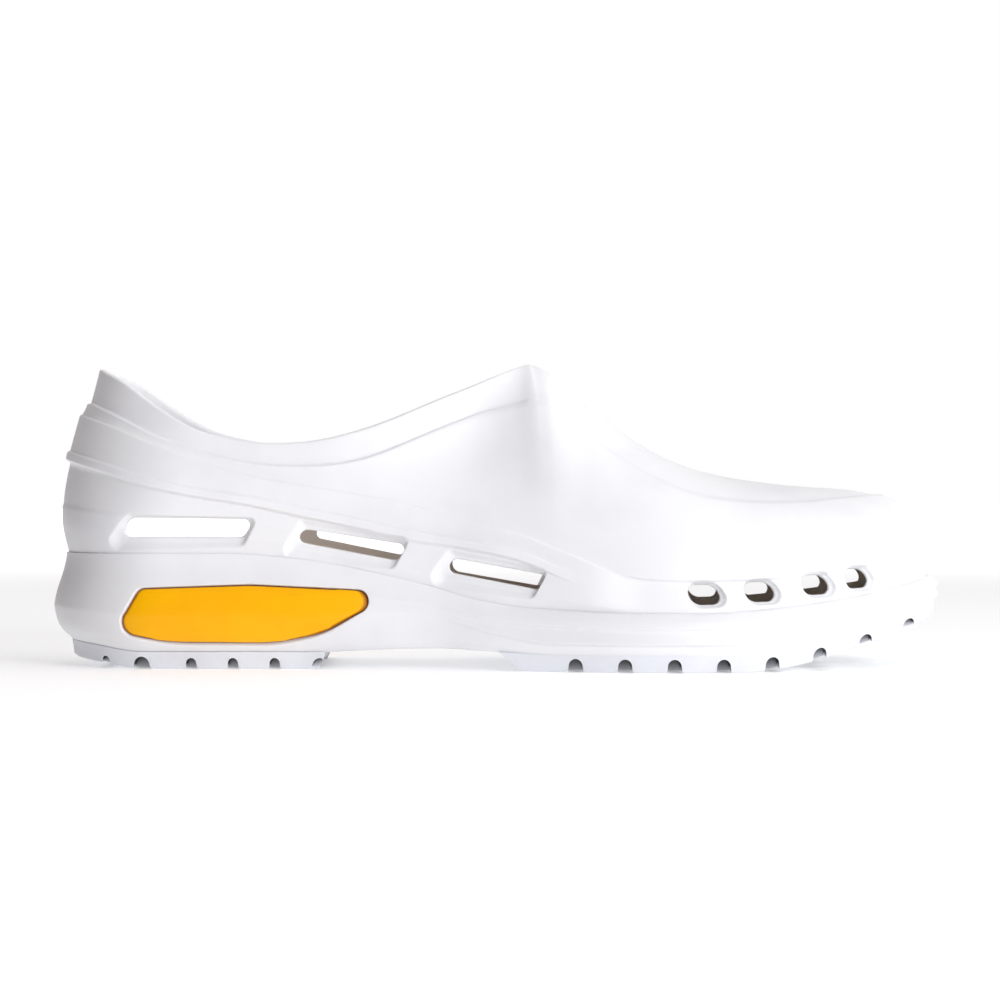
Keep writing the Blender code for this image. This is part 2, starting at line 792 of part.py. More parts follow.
def cut(target, cutters, operation="DIFFERENCE"):
    """Applies one Boolean for each cutter to an object's mesh."""
    for cutter in cutters:
        cutter_collection.objects.link(cutter)
        cutter.hide_render = True
        cutter.display_type = "WIRE"
        modifier = target.modifiers.new(cutter.name, "BOOLEAN")
        modifier.operation = operation
        modifier.object = cutter
        modifier.solver = "EXACT"


def sole_inset(edge):
    """How far one edge of the sole's side lies inside the outline, along the shoe."""

    def inset(along):
        waist = ease(along, HEEL_AT, WAIST_AT)
        ball = ease(along, WAIST_AT, BALL_AT)
        value = edge.heel_in + (edge.waist_in - edge.heel_in) * waist
        return SIDE_UNDERCUT * (value + (edge.ball_in - edge.waist_in) * ball)

    return inset


def sole_edge(side, edge, columns):
    """One edge of the sole's side, from heel to toe, as columns by 3."""
    outline, _ = side_outline(side, sole_inset(edge))
    (plan,) = spread(outline, columns)
    along = along_of(plan[:, 0])
    up = edge.heel_up + (edge.waist_up - edge.heel_up) * ease(along, HEEL_AT, WAIST_AT)
    up = up + (edge.ball_up - edge.waist_up) * ease(along, WAIST_AT, BALL_AT)
    low = underside_z(plan[:, 0])
    high = rim_z(plan[:, 0]) - GAP
    return np.column_stack([plan, low + up * (high - low)])


def level_ring(side, inset, height, columns):
    """The plan outline at an inset, at the height that a function of x and y gives."""
    outline, _ = side_outline(side, inset)
    (plan,) = spread(outline, columns)
    return np.column_stack([plan, height(plan[:, 0], plan[:, 1])])


def cap_grid(lateral, medial, height):
    """Fills between two side edges with strips at the height of a function."""
    share = np.linspace(0, 1, CAP_STRIPS + 1)[None, :, None]
    grid = lateral[:, None] * (1 - share) + medial[:, None] * share
    inner = grid[:, 1:-1]
    inner[:, :, 2] = height(inner[:, :, 0], inner[:, :, 1])
    grid[0], grid[-1] = lateral[0], lateral[-1]
    return grid


def arch_hollow(x, y):
    """Underside of the sole unit with the hollow of its arch."""
    along = along_of(x)
    hollow = ARCH_HOLLOW * ease(along, 0.30, 0.42) * (1 - ease(along, 0.42, 0.54))
    share = np.clip(abs(y - axis_y(along)) / (BALL_WIDTH * 0.3), 0, 1)
    return underside_z(x) + hollow * (1 - share**2)


def rim_top(x, y):
    """Top of the sole unit's rim, a gap below the upper."""
    return rim_z(x) - GAP


def cup_floor(x, y):
    """Floor of the sole unit's cup, on which the footbed lies."""
    return footbed_top(x, y) - FOOTBED_THICKNESS - GAP


def footbed_top(x, y):
    """Top of the footbed, which is cupped up towards its edges."""
    along = along_of(x)
    share = np.clip(abs(y - axis_y(along)) / (BALL_WIDTH * 0.38), 0, 1)
    return footbed_z(x) + FOOTBED_CUP * (share**2 - 0.5) * (1 - ease(along, 0.4, 0.6))


def footbed_shoulder(x, y):
    """Height at which the footbed's side turns into its top."""
    return footbed_top(x, y) - FOOTBED_CHAMFER


def footbed_base(x, y):
    """Underside of the footbed, a gap above the cup's floor."""
    return cup_floor(x, y) + GAP


def make_sole():
    """The sole unit: its stepped side, cup for the footbed, and arched underside."""
    inner = RIM_INSET + WALL
    sides = {}
    for side in (LATERAL, MEDIAL):
        rings = [sole_edge(side, edge, SOLE_COLUMNS) for edge in SIDE_EDGES]
        top = [
            level_ring(side, RIM_INSET - SOLE_LEDGE, rim_top, SOLE_COLUMNS),
            level_ring(side, inner, rim_top, SOLE_COLUMNS),
            level_ring(side, inner + CUP_TAPER, cup_floor, SOLE_COLUMNS),
        ]
        sides[side] = np.stack(rings + top, axis=1)
    under = cap_grid(sides[LATERAL][:, 0], sides[MEDIAL][:, 0], arch_hollow)
    floor = cap_grid(sides[LATERAL][:, -1], sides[MEDIAL][:, -1], cup_floor)
    return patches_mesh("sole", [sides[LATERAL], sides[MEDIAL], under, floor])


def pad_side(side, span, inset, height, columns):
    """One edge of a tread pad on one side, between two places along the shoe."""
    outline, _ = side_outline(side, inset)
    along = along_of(outline[:, 0])
    plan = outline[(along > span[0]) & (along < span[1])]
    ends = [
        [np.interp(x_of(place), outline[:, 0], values) for values in outline.T]
        for place in span
    ]
    (plan,) = spread(np.concatenate([ends[:1], plan, ends[1:]]), columns)
    return np.column_stack([plan, height(plan[:, 0])])


def pad_top(x):
    """Top of a tread pad, a gap below the sole unit."""
    return underside_z(x) - GAP


def make_pad(name, low_span, high_span, low_inset, high_inset, columns):
    """A tread pad that follows the ground line below and the sole unit above."""
    share = np.linspace(0, 1, CAP_STRIPS + 1)[None, :, None]
    caps, edges = [], []
    levels = ((low_span, low_inset, ground_z), (high_span, high_inset, pad_top))
    for span, inset, height in levels:
        edge = [pad_side(side, span, inset, height, columns) for side in (LATERAL, MEDIAL)]
        edges.append(edge)
        caps.append(edge[0][:, None] * (1 - share) + edge[1][:, None] * share)
    low, high = caps
    walls = [np.stack([edges[0][k], edges[1][k]], axis=1) for k in (0, 1)]
    ends = [np.stack([low[k], high[k]], axis=1) for k in (0, -1)]
    return patches_mesh(name, [low, high, *walls, *ends])


def groove_cutter(name, x, width, depth):
    """A cross groove with a half-round top, cut up from the ground line at x."""
    floor = float(ground_z(x))
    slope = math.atan2(float(ground_z(x + 1) - ground_z(x - 1)), 2.0)
    radius = width / 2
    arc = np.linspace(0, np.pi, 7)
    shape = [(radius * math.cos(a), depth - radius + radius * math.sin(a)) for a in arc]
    shape = np.array([(radius, -3 * width)] + shape + [(-radius, -3 * width)])
    turn = np.array([[math.cos(slope), -math.sin(slope)], [math.sin(slope), math.cos(slope)]])
    shape = shape @ turn.T
    rings = [
        np.column_stack([x + shape[:, 0], np.full(len(shape), y), floor + shape[:, 1]])
        for y in (-BALL_WIDTH, BALL_WIDTH)
    ]
    return loft_mesh(name, rings)


def channel_cutter(name, start, end, sideways):
    """A shallow channel along a tread pad, beside the shoe's axis."""
    along = np.linspace(start, end, 12)
    x = x_of(along)
    y = axis_y(along) + sideways
    low, high = ground_z(x) - 3 * CHANNEL_DEPTH, ground_z(x) + CHANNEL_DEPTH
    half = CHANNEL_WIDTH / 2
    corners = ((-half, low), (half, low), (half, high), (-half, high))
    rings = [
        np.array([(x[k], y[k] + dy, z[k]) for dy, z in corners]) for k in range(len(x))
    ]
    return loft_mesh(name, rings)


def make_outsoles():
    """The two tread pads with their cross grooves and long channels."""
    heel = make_pad(
        "outsole_heel",
        (HEEL_PAD_START, HEEL_PAD_END),
        (HEEL_PAD_START, HEEL_PAD_END + HEEL_PAD_SLANT),
        HEEL_PAD_INSET + HEEL_PAD_TAPER,
        HEEL_PAD_INSET,
        HEEL_PAD_COLUMNS,
    )
    forefoot = make_pad(
        "outsole_forefoot",
        (FOREFOOT_PAD_START + FOREFOOT_PAD_SLANT, FOREFOOT_PAD_END),
        (FOREFOOT_PAD_START, FOREFOOT_PAD_END),
        FOREFOOT_PAD_INSET + FOREFOOT_PAD_TAPER,
        FOREFOOT_PAD_INSET,
        FOREFOOT_PAD_COLUMNS,
    )
    plans = (
        (heel, HEEL_GROOVE_AT, HEEL_PAD_END, HEEL_GROOVE_PITCH),
        (forefoot, FOREFOOT_GROOVE_AT, FOREFOOT_PAD_END, FOREFOOT_GROOVE_PITCH),
    )
    for pad, first, last, pitch in plans:
        cutters = []
        places = np.arange(x_of(first), x_of(last), pitch)
        for number, x in enumerate(places.tolist()):
            thinning = PAD_TOE_THINNING * float(curve(GROUND, "spring", along_of(x)))
            depth = GROOVE_DEPTH - thinning
            name = f"cut_{pad.name}_groove_{number + 1}"
            cutters.append(groove_cutter(name, x, GROOVE_WIDTH, depth))
        cut(pad, cutters)
    spans = ((heel, 0.075, 0.285), (forefoot, 0.560, 0.880))
    for pad, start, end in spans:
        cutters = [
            channel_cutter(f"cut_{pad.name}_channel_{k}", start, end, k * CHANNEL_SPACING)
            for k in (-1, 0, 1)
        ]
        cut(pad, cutters)
    return heel, forefoot


def make_footbed():
    """The loose footbed, cut to lie inside the sole unit's cup."""
    inset = RIM_INSET + WALL + CUP_TAPER + GAP
    sides = {}
    for side in (LATERAL, MEDIAL):
        rings = [
            level_ring(side, inset + CUP_TAPER, footbed_base, FOOTBED_COLUMNS),
            level_ring(side, inset, footbed_shoulder, FOOTBED_COLUMNS),
            level_ring(side, inset + FOOTBED_CHAMFER, footbed_top, FOOTBED_COLUMNS),
        ]
        sides[side] = np.stack(rings, axis=1)
    under = cap_grid(sides[LATERAL][:, 0], sides[MEDIAL][:, 0], footbed_base)
    top = cap_grid(sides[LATERAL][:, -1], sides[MEDIAL][:, -1], footbed_top)
    return patches_mesh("insole", [sides[LATERAL], sides[MEDIAL], under, top])


def sole_side_grid(side, start, end, inwards, columns):
    """Part of the sole's side surface, moved straight in, as columns by edges by 3."""
    edges = []
    for edge in SIDE_EDGES:
        inset = sole_inset(edge)
        outline, _ = side_outline(side, lambda along: inset(along) + inwards)
        along = along_of(outline[:, 0])
        plan = outline[(along >= start) & (along <= end)]
        (plan,) = spread(plan, columns)
        low, high = underside_z(plan[:, 0]), rim_z(plan[:, 0]) - GAP
        up = edge.heel_up + (edge.waist_up - edge.heel_up) * ease(
            along_of(plan[:, 0]), HEEL_AT, WAIST_AT
        )
        edges.append(np.column_stack([plan, low + up * (high - low)]))
    return np.stack(edges, axis=1)


def side_plate(name, side, inwards_outer, inwards_inner):
    """A curved plate between two insets of the sole's side, round the insert's place."""
    start = min(corner.along for corner in INSERT_CORNERS) - 0.03
    end = max(corner.along for corner in INSERT_CORNERS) + 0.03
    outer = sole_side_grid(side, start, end, inwards_outer, INSERT_COLUMNS)
    inner = sole_side_grid(side, start, end, inwards_inner, INSERT_COLUMNS)
    rims = [
        np.stack([outer[:, k], inner[:, k]], axis=1) for k in (0, -1)
    ] + [np.stack([outer[k], inner[k]], axis=1) for k in (0, -1)]
    return patches_mesh(name, [outer, inner, *rims])


def drawn_in(corners, by):
    """Corners of a polygon moved inwards, so that each edge moves by one distance."""
    moved = []
    for i, (x, z, radius) in enumerate(corners):
        here = np.array([x, z])
        back = np.array(corners[i - 1][:2]) - here
        ahead = np.array(corners[(i + 1) % len(corners)][:2]) - here
        back, ahead = back / np.linalg.norm(back), ahead / np.linalg.norm(ahead)
        bisector = (back + ahead) / np.linalg.norm(back + ahead)
        reach = by / math.sin(math.acos(np.clip(back @ ahead, -1, 1)) / 2)
        moved.append((*(here + bisector * reach), radius - by))
    return moved


def insert_prism(name, side, shrink):
    """The insert's side-view outline, drawn in by shrink and run across one side."""
    corners = [
        (float(x_of(c.along)), c.height * RIM_HEIGHT, c.radius * INSERT_RADIUS)
        for c in INSERT_CORNERS
    ]
    outline = rounded_outline(drawn_in(corners, shrink))
    rings = [
        np.column_stack([outline[:, 0], np.full(len(outline), y), outline[:, 1]])
        for y in (side * BALL_WIDTH / 20, side * BALL_WIDTH)
    ]
    return loft_mesh(name, rings)


def make_insert(side, sole):
    """One side insert, and its pocket in the sole unit."""
    name = SIDE_NAME[side]
    pocket = side_plate(
        f"cut_pocket_{name}", side, -2 * RIM_INSET, INSERT_SINK + INSERT_DEPTH + GAP
    )
    cut(pocket, [insert_prism(f"cut_pocket_outline_{name}", side, 0.0)], "INTERSECT")
    cut(sole, [pocket])
    insert = side_plate(f"insert_{name}", side, INSERT_SINK, INSERT_SINK + INSERT_DEPTH)
    cut(insert, [insert_prism(f"cut_insert_outline_{name}", side, GAP)], "INTERSECT")
    return insert


def make_upper():
    """The hollow upper with its steps, three side vents a side and toe vents."""
    surfaces, normals = {}, {}
    for side in (LATERAL, MEDIAL):
        surfaces[side], normals[side] = base_surface(side)
    share_normals(normals[LATERAL], normals[MEDIAL])
    patches = []
    for side in (LATERAL, MEDIAL):
        outer, inner = upper_side(surfaces[side], normals[side])
        collar = slice(0, COLLAR_COLUMNS)
        rim = np.stack([outer[:, 0], inner[:, 0]], axis=1)
        edge = np.stack([outer[collar, -1], inner[collar, -1]], axis=1)
        patches += [outer, inner, rim, edge]
    upper = patches_mesh("upper", patches)
    cutters = []
    for side in (LATERAL, MEDIAL):
        for number, vent in enumerate(SIDE_VENTS):
            cutters.append(side_vent_cutter(surfaces[side], side, number, vent))
        for number, vent in enumerate(TOE_VENTS):
            cutters.append(toe_vent_cutter(surfaces[side], side, number, vent))
    cut(upper, cutters)
    return upper


def material(name, colour, roughness):
    """A plain Principled material."""
    made = bpy.data.materials.new(name)
    made.use_nodes = True
    shader = made.node_tree.nodes["Principled BSDF"]
    shader.inputs["Base Color"].default_value = colour
    shader.inputs["Roughness"].default_value = roughness
    shader.inputs["Metallic"].default_value = 0.0
    made.diffuse_color = colour
    return made


def finish(piece, made):
    """Links a piece, gives it its material and shades its round faces smooth."""
    clog_collection.objects.link(piece)
    piece.data.materials.append(made)
    piece.data.shade_smooth()
    piece.data.set_sharp_from_angle(angle=math.radians(35))


def centre_on_ground(pieces):
    """Moves all meshes together, so that the origin is under the middle of the box."""
    corners = np.array(
        [v.co for piece in pieces for v in piece.data.vertices], dtype=float
    )
    middle = (corners.min(axis=0) + corners.max(axis=0)) / 2
    for mesh in {o.data for o in bpy.data.objects if o.type == "MESH"}:
        for vertex in mesh.vertices:
            vertex.co.x -= middle[0]
            vertex.co.y -= middle[1]


for old in list(bpy.data.objects):
    bpy.data.objects.remove(old)
clog_collection = bpy.data.collections.new("hospital_clog")
cutter_collection = bpy.data.collections.new("cutters")
for made_collection in (clog_collection, cutter_collection):
    bpy.context.scene.collection.children.link(made_collection)

white = material("moulded_white", WHITE, 0.5)
tread_white = material("tread_white", TREAD_WHITE, 0.6)
footbed_white = material("footbed_white", FOOTBED_WHITE, 0.8)
yellow = material("insert_yellow", INSERT_YELLOW, 0.45)

upper_piece = make_upper()
sole_piece = make_sole()
insert_pieces = [make_insert(side, sole_piece) for side in (LATERAL, MEDIAL)]
heel_pad, forefoot_pad = make_outsoles()
footbed_piece = make_footbed()
finish(upper_piece, white)
finish(sole_piece, white)
finish(heel_pad, tread_white)
finish(forefoot_pad, tread_white)
finish(footbed_piece, footbed_white)
for insert_piece in insert_pieces:
    finish(insert_piece, yellow)
centre_on_ground([upper_piece, sole_piece, heel_pad, forefoot_pad])
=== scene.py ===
"""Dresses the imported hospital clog: fine skins, finishes, studio and camera."""

import logging
import math
from dataclasses import dataclass
from enum import Enum
from typing import Any, Callable

import bmesh
import bpy
import numpy as np
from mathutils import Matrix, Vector


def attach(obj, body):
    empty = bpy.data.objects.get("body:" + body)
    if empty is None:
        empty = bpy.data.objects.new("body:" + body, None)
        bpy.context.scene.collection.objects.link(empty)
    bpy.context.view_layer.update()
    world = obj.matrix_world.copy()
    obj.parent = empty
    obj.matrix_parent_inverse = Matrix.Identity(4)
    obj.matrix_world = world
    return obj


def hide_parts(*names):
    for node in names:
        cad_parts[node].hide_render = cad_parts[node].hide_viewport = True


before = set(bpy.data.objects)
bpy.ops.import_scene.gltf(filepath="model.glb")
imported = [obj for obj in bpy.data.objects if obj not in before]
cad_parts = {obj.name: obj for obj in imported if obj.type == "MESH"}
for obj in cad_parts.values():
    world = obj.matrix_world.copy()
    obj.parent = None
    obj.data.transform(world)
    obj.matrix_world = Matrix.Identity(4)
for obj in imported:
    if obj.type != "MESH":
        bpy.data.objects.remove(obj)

MM = 0.001
SHARP_DEGREES = 50
ARC_STEPS = 24
Array = np.ndarray
Triple = tuple[float, float, float]
HeightOf = Callable[[Array, Array], Array]
logger = logging.getLogger("clog")


class Side(Enum):
    """The two sides of the shoe, with the sign of Y on each."""

    LATERAL = -1
    MEDIAL = 1


@dataclass(frozen=True)
class Table:
    """Named columns of numbers along the shoe."""

    names: tuple[str, ...]
    rows: tuple[tuple[float, ...], ...]

    def read(self, name: str, at: Array) -> Array:
        """Reads one column on a smooth curve that never overshoots its rows.

        Cubic pieces join the rows. The slope at a row is the mean of its neighbours'
        slopes, held to three times the smaller, and nothing at a peak.

        Args:
            name: the column.
            at: places along the shoe.

        Returns:
            The column's value at each place.
        """
        table = np.array(self.rows, float)
        stations, values = table[:, 0], table[:, self.names.index(name)]
        at = np.clip(np.asarray(at, float), stations[0], stations[-1])
        rise = np.diff(values) / np.diff(stations)
        least = 3 * np.minimum(abs(rise[1:]), abs(rise[:-1]))
        mean = np.clip((rise[1:] + rise[:-1]) / 2, -least, least)
        inner = np.where(rise[1:] * rise[:-1] <= 0, 0, mean)
        slope = np.concatenate([rise[:1], inner, rise[-1:]])
        row = np.clip(np.searchsorted(stations, at, side="right") - 1, 0, len(rise) - 1)
        span = stations[row + 1] - stations[row]
        t = (at - stations[row]) / span
        return (
            values[row] * (1 + 2 * t) * (1 - t) ** 2
            + slope[row] * span * t * (1 - t) ** 2
            + values[row + 1] * t * t * (3 - 2 * t)
            + slope[row + 1] * span * t * t * (t - 1)
        )


OUTLINE = Table(
    ("along", "LATERAL", "MEDIAL"),
    (
        (0.00, 0.345, 0.345),
        (0.15, 0.345, 0.340),
        (0.30, 0.350, 0.325),
        (0.42, 0.375, 0.315),
        (0.52, 0.432, 0.345),
        (0.62, 0.505, 0.410),
        (0.72, 0.552, 0.455),
        (0.82, 0.568, 0.465),
        (1.00, 0.572, 0.460),
    ),
)
RIM = Table(
    ("along", "height"),
    (
        (0.00, 0.995),
        (0.13, 1.000),
        (0.20, 1.000),
        (0.26, 0.970),
        (0.31, 0.920),
        (0.36, 0.845),
        (0.42, 0.735),
        (0.47, 0.625),
        (0.51, 0.565),
        (0.57, 0.530),
        (0.64, 0.508),
        (0.71, 0.510),
        (0.80, 0.550),
        (0.90, 0.650),
        (0.95, 0.725),
        (1.00, 0.810),
    ),
)
GROUND = Table(
    ("along", "spring", "bevel", "arch"),
    (
        (0.000, 0.00, 1.00, 0.00),
        (0.055, 0.00, 0.55, 0.00),
        (0.110, 0.00, 0.00, 0.00),
        (0.290, 0.00, 0.00, 0.00),
        (0.360, 0.00, 0.00, 0.55),
        (0.430, 0.00, 0.00, 1.00),
        (0.500, 0.00, 0.00, 0.40),
        (0.550, 0.00, 0.00, 0.00),
        (0.760, 0.00, 0.00, 0.00),
        (0.800, 0.05, 0.00, 0.00),
        (0.840, 0.18, 0.00, 0.00),
        (0.880, 0.37, 0.00, 0.00),
        (0.920, 0.57, 0.00, 0.00),
        (0.960, 0.79, 0.00, 0.00),
        (1.000, 1.00, 0.00, 0.00),
    ),
)
FOOTBED = Table(
    ("along", "height"),
    (
        (0.00, 1.010),
        (0.15, 1.000),
        (0.25, 1.000),
        (0.33, 0.950),
        (0.42, 0.825),
        (0.50, 0.690),
        (0.58, 0.590),
        (0.70, 0.545),
        (0.80, 0.585),
        (0.90, 0.735),
        (1.00, 0.950),
    ),
)
SECTIONS = Table(
    ("along", "rise", "flare", "reach", "lean", "drop"),
    (
        (0.000, 0.33, 1.000, 0.00, 1.412, 0.33),
        (0.150, 0.33, 0.706, 0.00, 0.647, 0.33),
        (0.350, 0.34, 0.588, 0.00, 0.353, 0.33),
        (0.450, 0.42, 0.647, 0.12, 0.471, 0.28),
        (0.520, 0.48, 0.706, 0.40, 0.000, 0.12),
        (0.560, 0.52, 0.706, 0.52, 0.000, 0.00),
        (0.650, 0.58, 0.588, 0.60, 0.000, 0.00),
        (0.800, 0.62, 0.471, 0.66, 0.000, 0.00),
        (1.000, 0.62, 0.588, 0.66, 0.000, 0.00),
    ),
)
COLLAR = Table(
    ("along", "dip", "width"),
    (
        (0.000, 0.000, 0.98),
        (0.070, 0.190, 0.98),
        (0.150, 0.500, 0.99),
        (0.235, 0.780, 1.00),
        (0.320, 0.925, 1.00),
        (0.420, 1.000, 1.00),
        (0.500, 0.985, 1.00),
        (0.635, 0.820, 0.98),
        (0.815, 0.425, 0.94),
        (0.935, 0.150, 0.90),
        (1.000, 0.000, 0.88),
    ),
)
RIDGE_FALL = Table(
    ("along", "share"),
    (
        (0.000, 0.000),
        (0.054, 0.050),
        (0.165, 0.285),
        (0.294, 0.541),
        (0.389, 0.690),
        (0.514, 0.829),
        (0.628, 0.900),
        (0.813, 0.966),
        (1.000, 1.000),
    ),
)
STEP_LINES = Table(
    ("along", "panel", "band", "rib"),
    (
        (0.015, 0.892, 0.858, 0.722),
        (0.080, 0.880, 0.795, 0.667),
        (0.120, 0.893, 0.744, 0.630),
        (0.170, 0.920, 0.688, 0.598),
        (0.230, 0.914, 0.637, 0.570),
        (0.290, 0.900, 0.604, 0.533),
        (0.350, 0.883, 0.572, 0.494),
        (0.410, 0.893, 0.533, 0.452),
        (0.470, 0.898, 0.487, 0.424),
        (0.530, 0.873, 0.438, 0.384),
        (0.570, 0.873, 0.391, 0.335),
        (0.640, 0.870, 0.310, 0.258),
        (0.700, 0.859, 0.296, 0.246),
        (0.760, 0.869, 0.297, 0.248),
        (0.840, 0.908, 0.312, 0.270),
        (0.900, 0.948, 0.338, 0.298),
        (1.000, 0.958, 0.376, 0.342),
    ),
)
# Each edge of the sole's side: how high it runs between underside and rim at the heel,
# waist and ball, then how far it lies inside the outline there.
SIDE_EDGES = (
    (0.00, 0.00, 0.00, 1.000, 0.730, 0.413),
    (0.07, 0.07, 0.07, 0.571, 0.540, 0.365),
    (0.17, 0.18, 0.14, 0.190, 0.365, 0.333),
    (0.36, 0.50, 0.22, 0.000, 0.286, 0.317),
    (0.42, 0.54, 0.27, 0.016, 0.254, 0.063),
    (0.52, 0.60, 0.42, 0.111, 0.270, 0.159),
    (0.62, 0.66, 0.59, 0.238, 0.302, 0.286),
    (0.67, 0.70, 0.64, 0.317, 0.286, 0.079),
    (0.79, 0.80, 0.79, 0.492, 0.429, 0.222),
    (0.92, 0.92, 0.92, 0.619, 0.571, 0.476),
)
# Corners of each side vent's slot and of the scoop round it: place along the shoe,
# share of the rim's height, and share of a vent's corner radius.
SIDE_VENTS = (
    (
        (
            (0.0855, 1.128, 0.95),
            (0.0950, 1.300, 1.00),
            (0.2335, 1.286, 0.75),
            (0.2215, 1.128, 0.95),
        ),
        (
            (0.0615, 1.008, 1.00),
            (0.0965, 1.334, 0.53),
            (0.2385, 1.306, 0.53),
            (0.2215, 1.046, 0.80),
        ),
    ),
    (
        (
            (0.2810, 1.090, 0.95),
            (0.2860, 1.205, 0.90),
            (0.4010, 1.070, 0.80),
            (0.3910, 0.930, 1.00),
        ),
        (
            (0.2570, 0.948, 1.13),
            (0.2840, 1.290, 0.53),
            (0.4055, 1.130, 0.60),
            (0.3850, 0.852, 0.87),
        ),
    ),
    (
        (
            (0.4440, 0.840, 0.95),
            (0.4490, 0.962, 0.90),
            (0.5540, 0.816, 0.80),
            (0.5450, 0.690, 1.00),
        ),
        (
            (0.4150, 0.722, 1.20),
            (0.4465, 1.032, 0.53),
            (0.5560, 0.870, 0.60),
            (0.5370, 0.606, 0.87),
        ),
    ),
)
# Corners of a toe vent round its middle: forward, up and radius, as shares.
TOE_OPENING = (
    (-0.250, -0.360, 0.480),
    (-0.430, 0.360, 0.300),
    (0.180, 0.400, 0.560),
    (0.370, -0.340, 0.330),
)
TOE_RECESS = (
    (-0.275, -0.480, 0.560),
    (-0.480, 0.440, 0.340),
    (0.220, 0.500, 0.640),
    (0.540, -0.440, 0.380),
)
TOE_VENTS = {
    Side.LATERAL: ((0.7235, 0.654), (0.7850, 0.676), (0.8480, 0.730), (0.8960, 0.778)),
    Side.MEDIAL: ((0.7400, 0.618), (0.8030, 0.634), (0.8660, 0.695), (0.9126, 0.745)),
}
# Corners of the side insert: place along the shoe, share of the rim's height, radius.
INSERT_CORNERS = (
    (0.0785, 0.312, 1.25),
    (0.1070, 0.705, 0.88),
    (0.2300, 0.738, 15.00),
    (0.3570, 0.690, 1.05),
    (0.3600, 0.535, 1.00),
    (0.3080, 0.292, 8.00),
    (0.2560, 0.200, 12.00),
    (0.1400, 0.208, 14.00),
)
# How the medial side's slots differ, in the same shares: further back, down, ahead.
MEDIAL_SLOTS = ((0.045, 0.050, 0.010), (-0.006, 0.000, 0.000), (0.000, 0.045, 0.005))
SLOT_GROUPS = ((0, 1), (), (2, 3), ())
INSERT_GROUPS = ((0, 1), (2,), (3, 4), (5, 6, 7))
# The keys behind which the upper's wall makes a step.
STEP_KEYS = (3, 5, 7, 11)
# Rows from each key to the next, where 0 stands for the close rows of a step, and the
# shares of the way at which the rows above the rim lie.
ROW_COUNTS = (14, 6, 0, 4, 0, 5, 0, 4, 5, 5, 0, 4, 4, 5)
FOOT_ROWS = (0.0, 0.02, 0.05, 0.10, 0.2, 0.35, 0.5, 0.65, 0.82)
# Which rows the upper's inner skin keeps, counted in keys.
INNER_KEYS = (
    *(0.0, 0.2, 0.65, 1.0, 1.5, 2.0, 2.5, 3.0, 4.0, 5.0, 6.0, 6.6, 7.0),
    *(8.0, 8.5, 9.0, 9.6, 10.0, 10.4, 11.0, 12.0, 12.5, 13.0, 13.5, 14.0, 14.6),
)
# Steps in from a tread pad's edge: share of the half width, depth of the bevel, and
# whether the grooves are open there.
PAD_EDGE = (
    (0.000, 0.50, 1),
    (0.004, 0.14, 1),
    (0.014, 0.00, 1),
    (0.050, 0.00, 1),
    (0.220, 0.00, 1),
    (0.235, 0.00, 0),
    (0.300, 0.00, 0),
    (0.315, 0.00, 1),
)


def ease(at: Array, start: float, end: float) -> Array:
    """Goes smoothly from 0 at start to 1 at end."""
    t = np.clip((np.asarray(at, float) - start) / (end - start), 0, 1)
    return t * t * (3 - 2 * t)


def unit(vectors: Array) -> Array:
    """The same directions, each of length 1."""
    return vectors / np.maximum(np.linalg.norm(vectors, axis=-1, keepdims=True), 1e-12)


def walked(points: Array) -> Array:
    """The length walked along a path up to each of its points."""
    steps = np.linalg.norm(np.diff(points, axis=0), axis=1)
    return np.concatenate([[0], np.cumsum(steps)])


def path_at(points: Array, length: Array, at: Array) -> Array:
    """A path's points at given lengths, in straight lines between its own points."""
    return np.stack([np.interp(at, length, values) for values in points.T], axis=1)


def spread(points: Array, count: int, extra: tuple[Array, ...] = ()) -> list[Array]:
    """Reads a path at steps of its length that are finer towards both ends.

    Each even share s of the length becomes s - sin(2 pi s) / (4 pi).

    Args:
        points: the path, one point a row.
        count: how many points to return.
        extra: other values beside the points.

    Returns:
        The points, and each of the other values, at those steps.
    """
    length, share = walked(points), np.linspace(0, 1, count)
    at = length[-1] * (share - np.sin(2 * np.pi * share) / (4 * np.pi))
    return [path_at(values, length, at) for values in (points, *extra)]


def even(points: Array, count: int) -> Array:
    """A path's points at equal steps of its length."""
    length = walked(points)
    return path_at(points, length, np.linspace(0, length[-1], count))


def read_rows(at: Array, keys: Array, values: Array) -> Array:
    """Reads each row of values in straight lines between its own rising keys.

    Args:
        at: one place for each row.
        keys: rows by keys.
        values: rows by keys.

    Returns:
        One value for each row.
    """
    index = np.clip((keys < at[:, None]).sum(axis=1), 1, keys.shape[1] - 1)
    row = np.arange(len(keys))
    low, high = keys[row, index - 1], keys[row, index]
    share = np.clip((at - low) / np.maximum(high - low, 1e-9), 0, 1)
    return values[row, index - 1] * (1 - share) + values[row, index] * share


def grid_at(grid: Array, column: Array, row: Array) -> Array:
    """A grid's value at broken column and row numbers, in straight lines between.

    Args:
        grid: columns by rows by values.
        column: broken column numbers.
        row: a broken row number for each of them.

    Returns:
        The grid's values there.
    """
    i = np.clip(np.floor(column).astype(int), 0, grid.shape[0] - 2)
    j = np.clip(np.floor(row).astype(int), 0, grid.shape[1] - 2)
    a, b = (column - i)[..., None], (row - j)[..., None]
    low = grid[i, j] * (1 - a) + grid[i + 1, j] * a
    high = grid[i, j + 1] * (1 - a) + grid[i + 1, j + 1] * a
    return low * (1 - b) + high * b


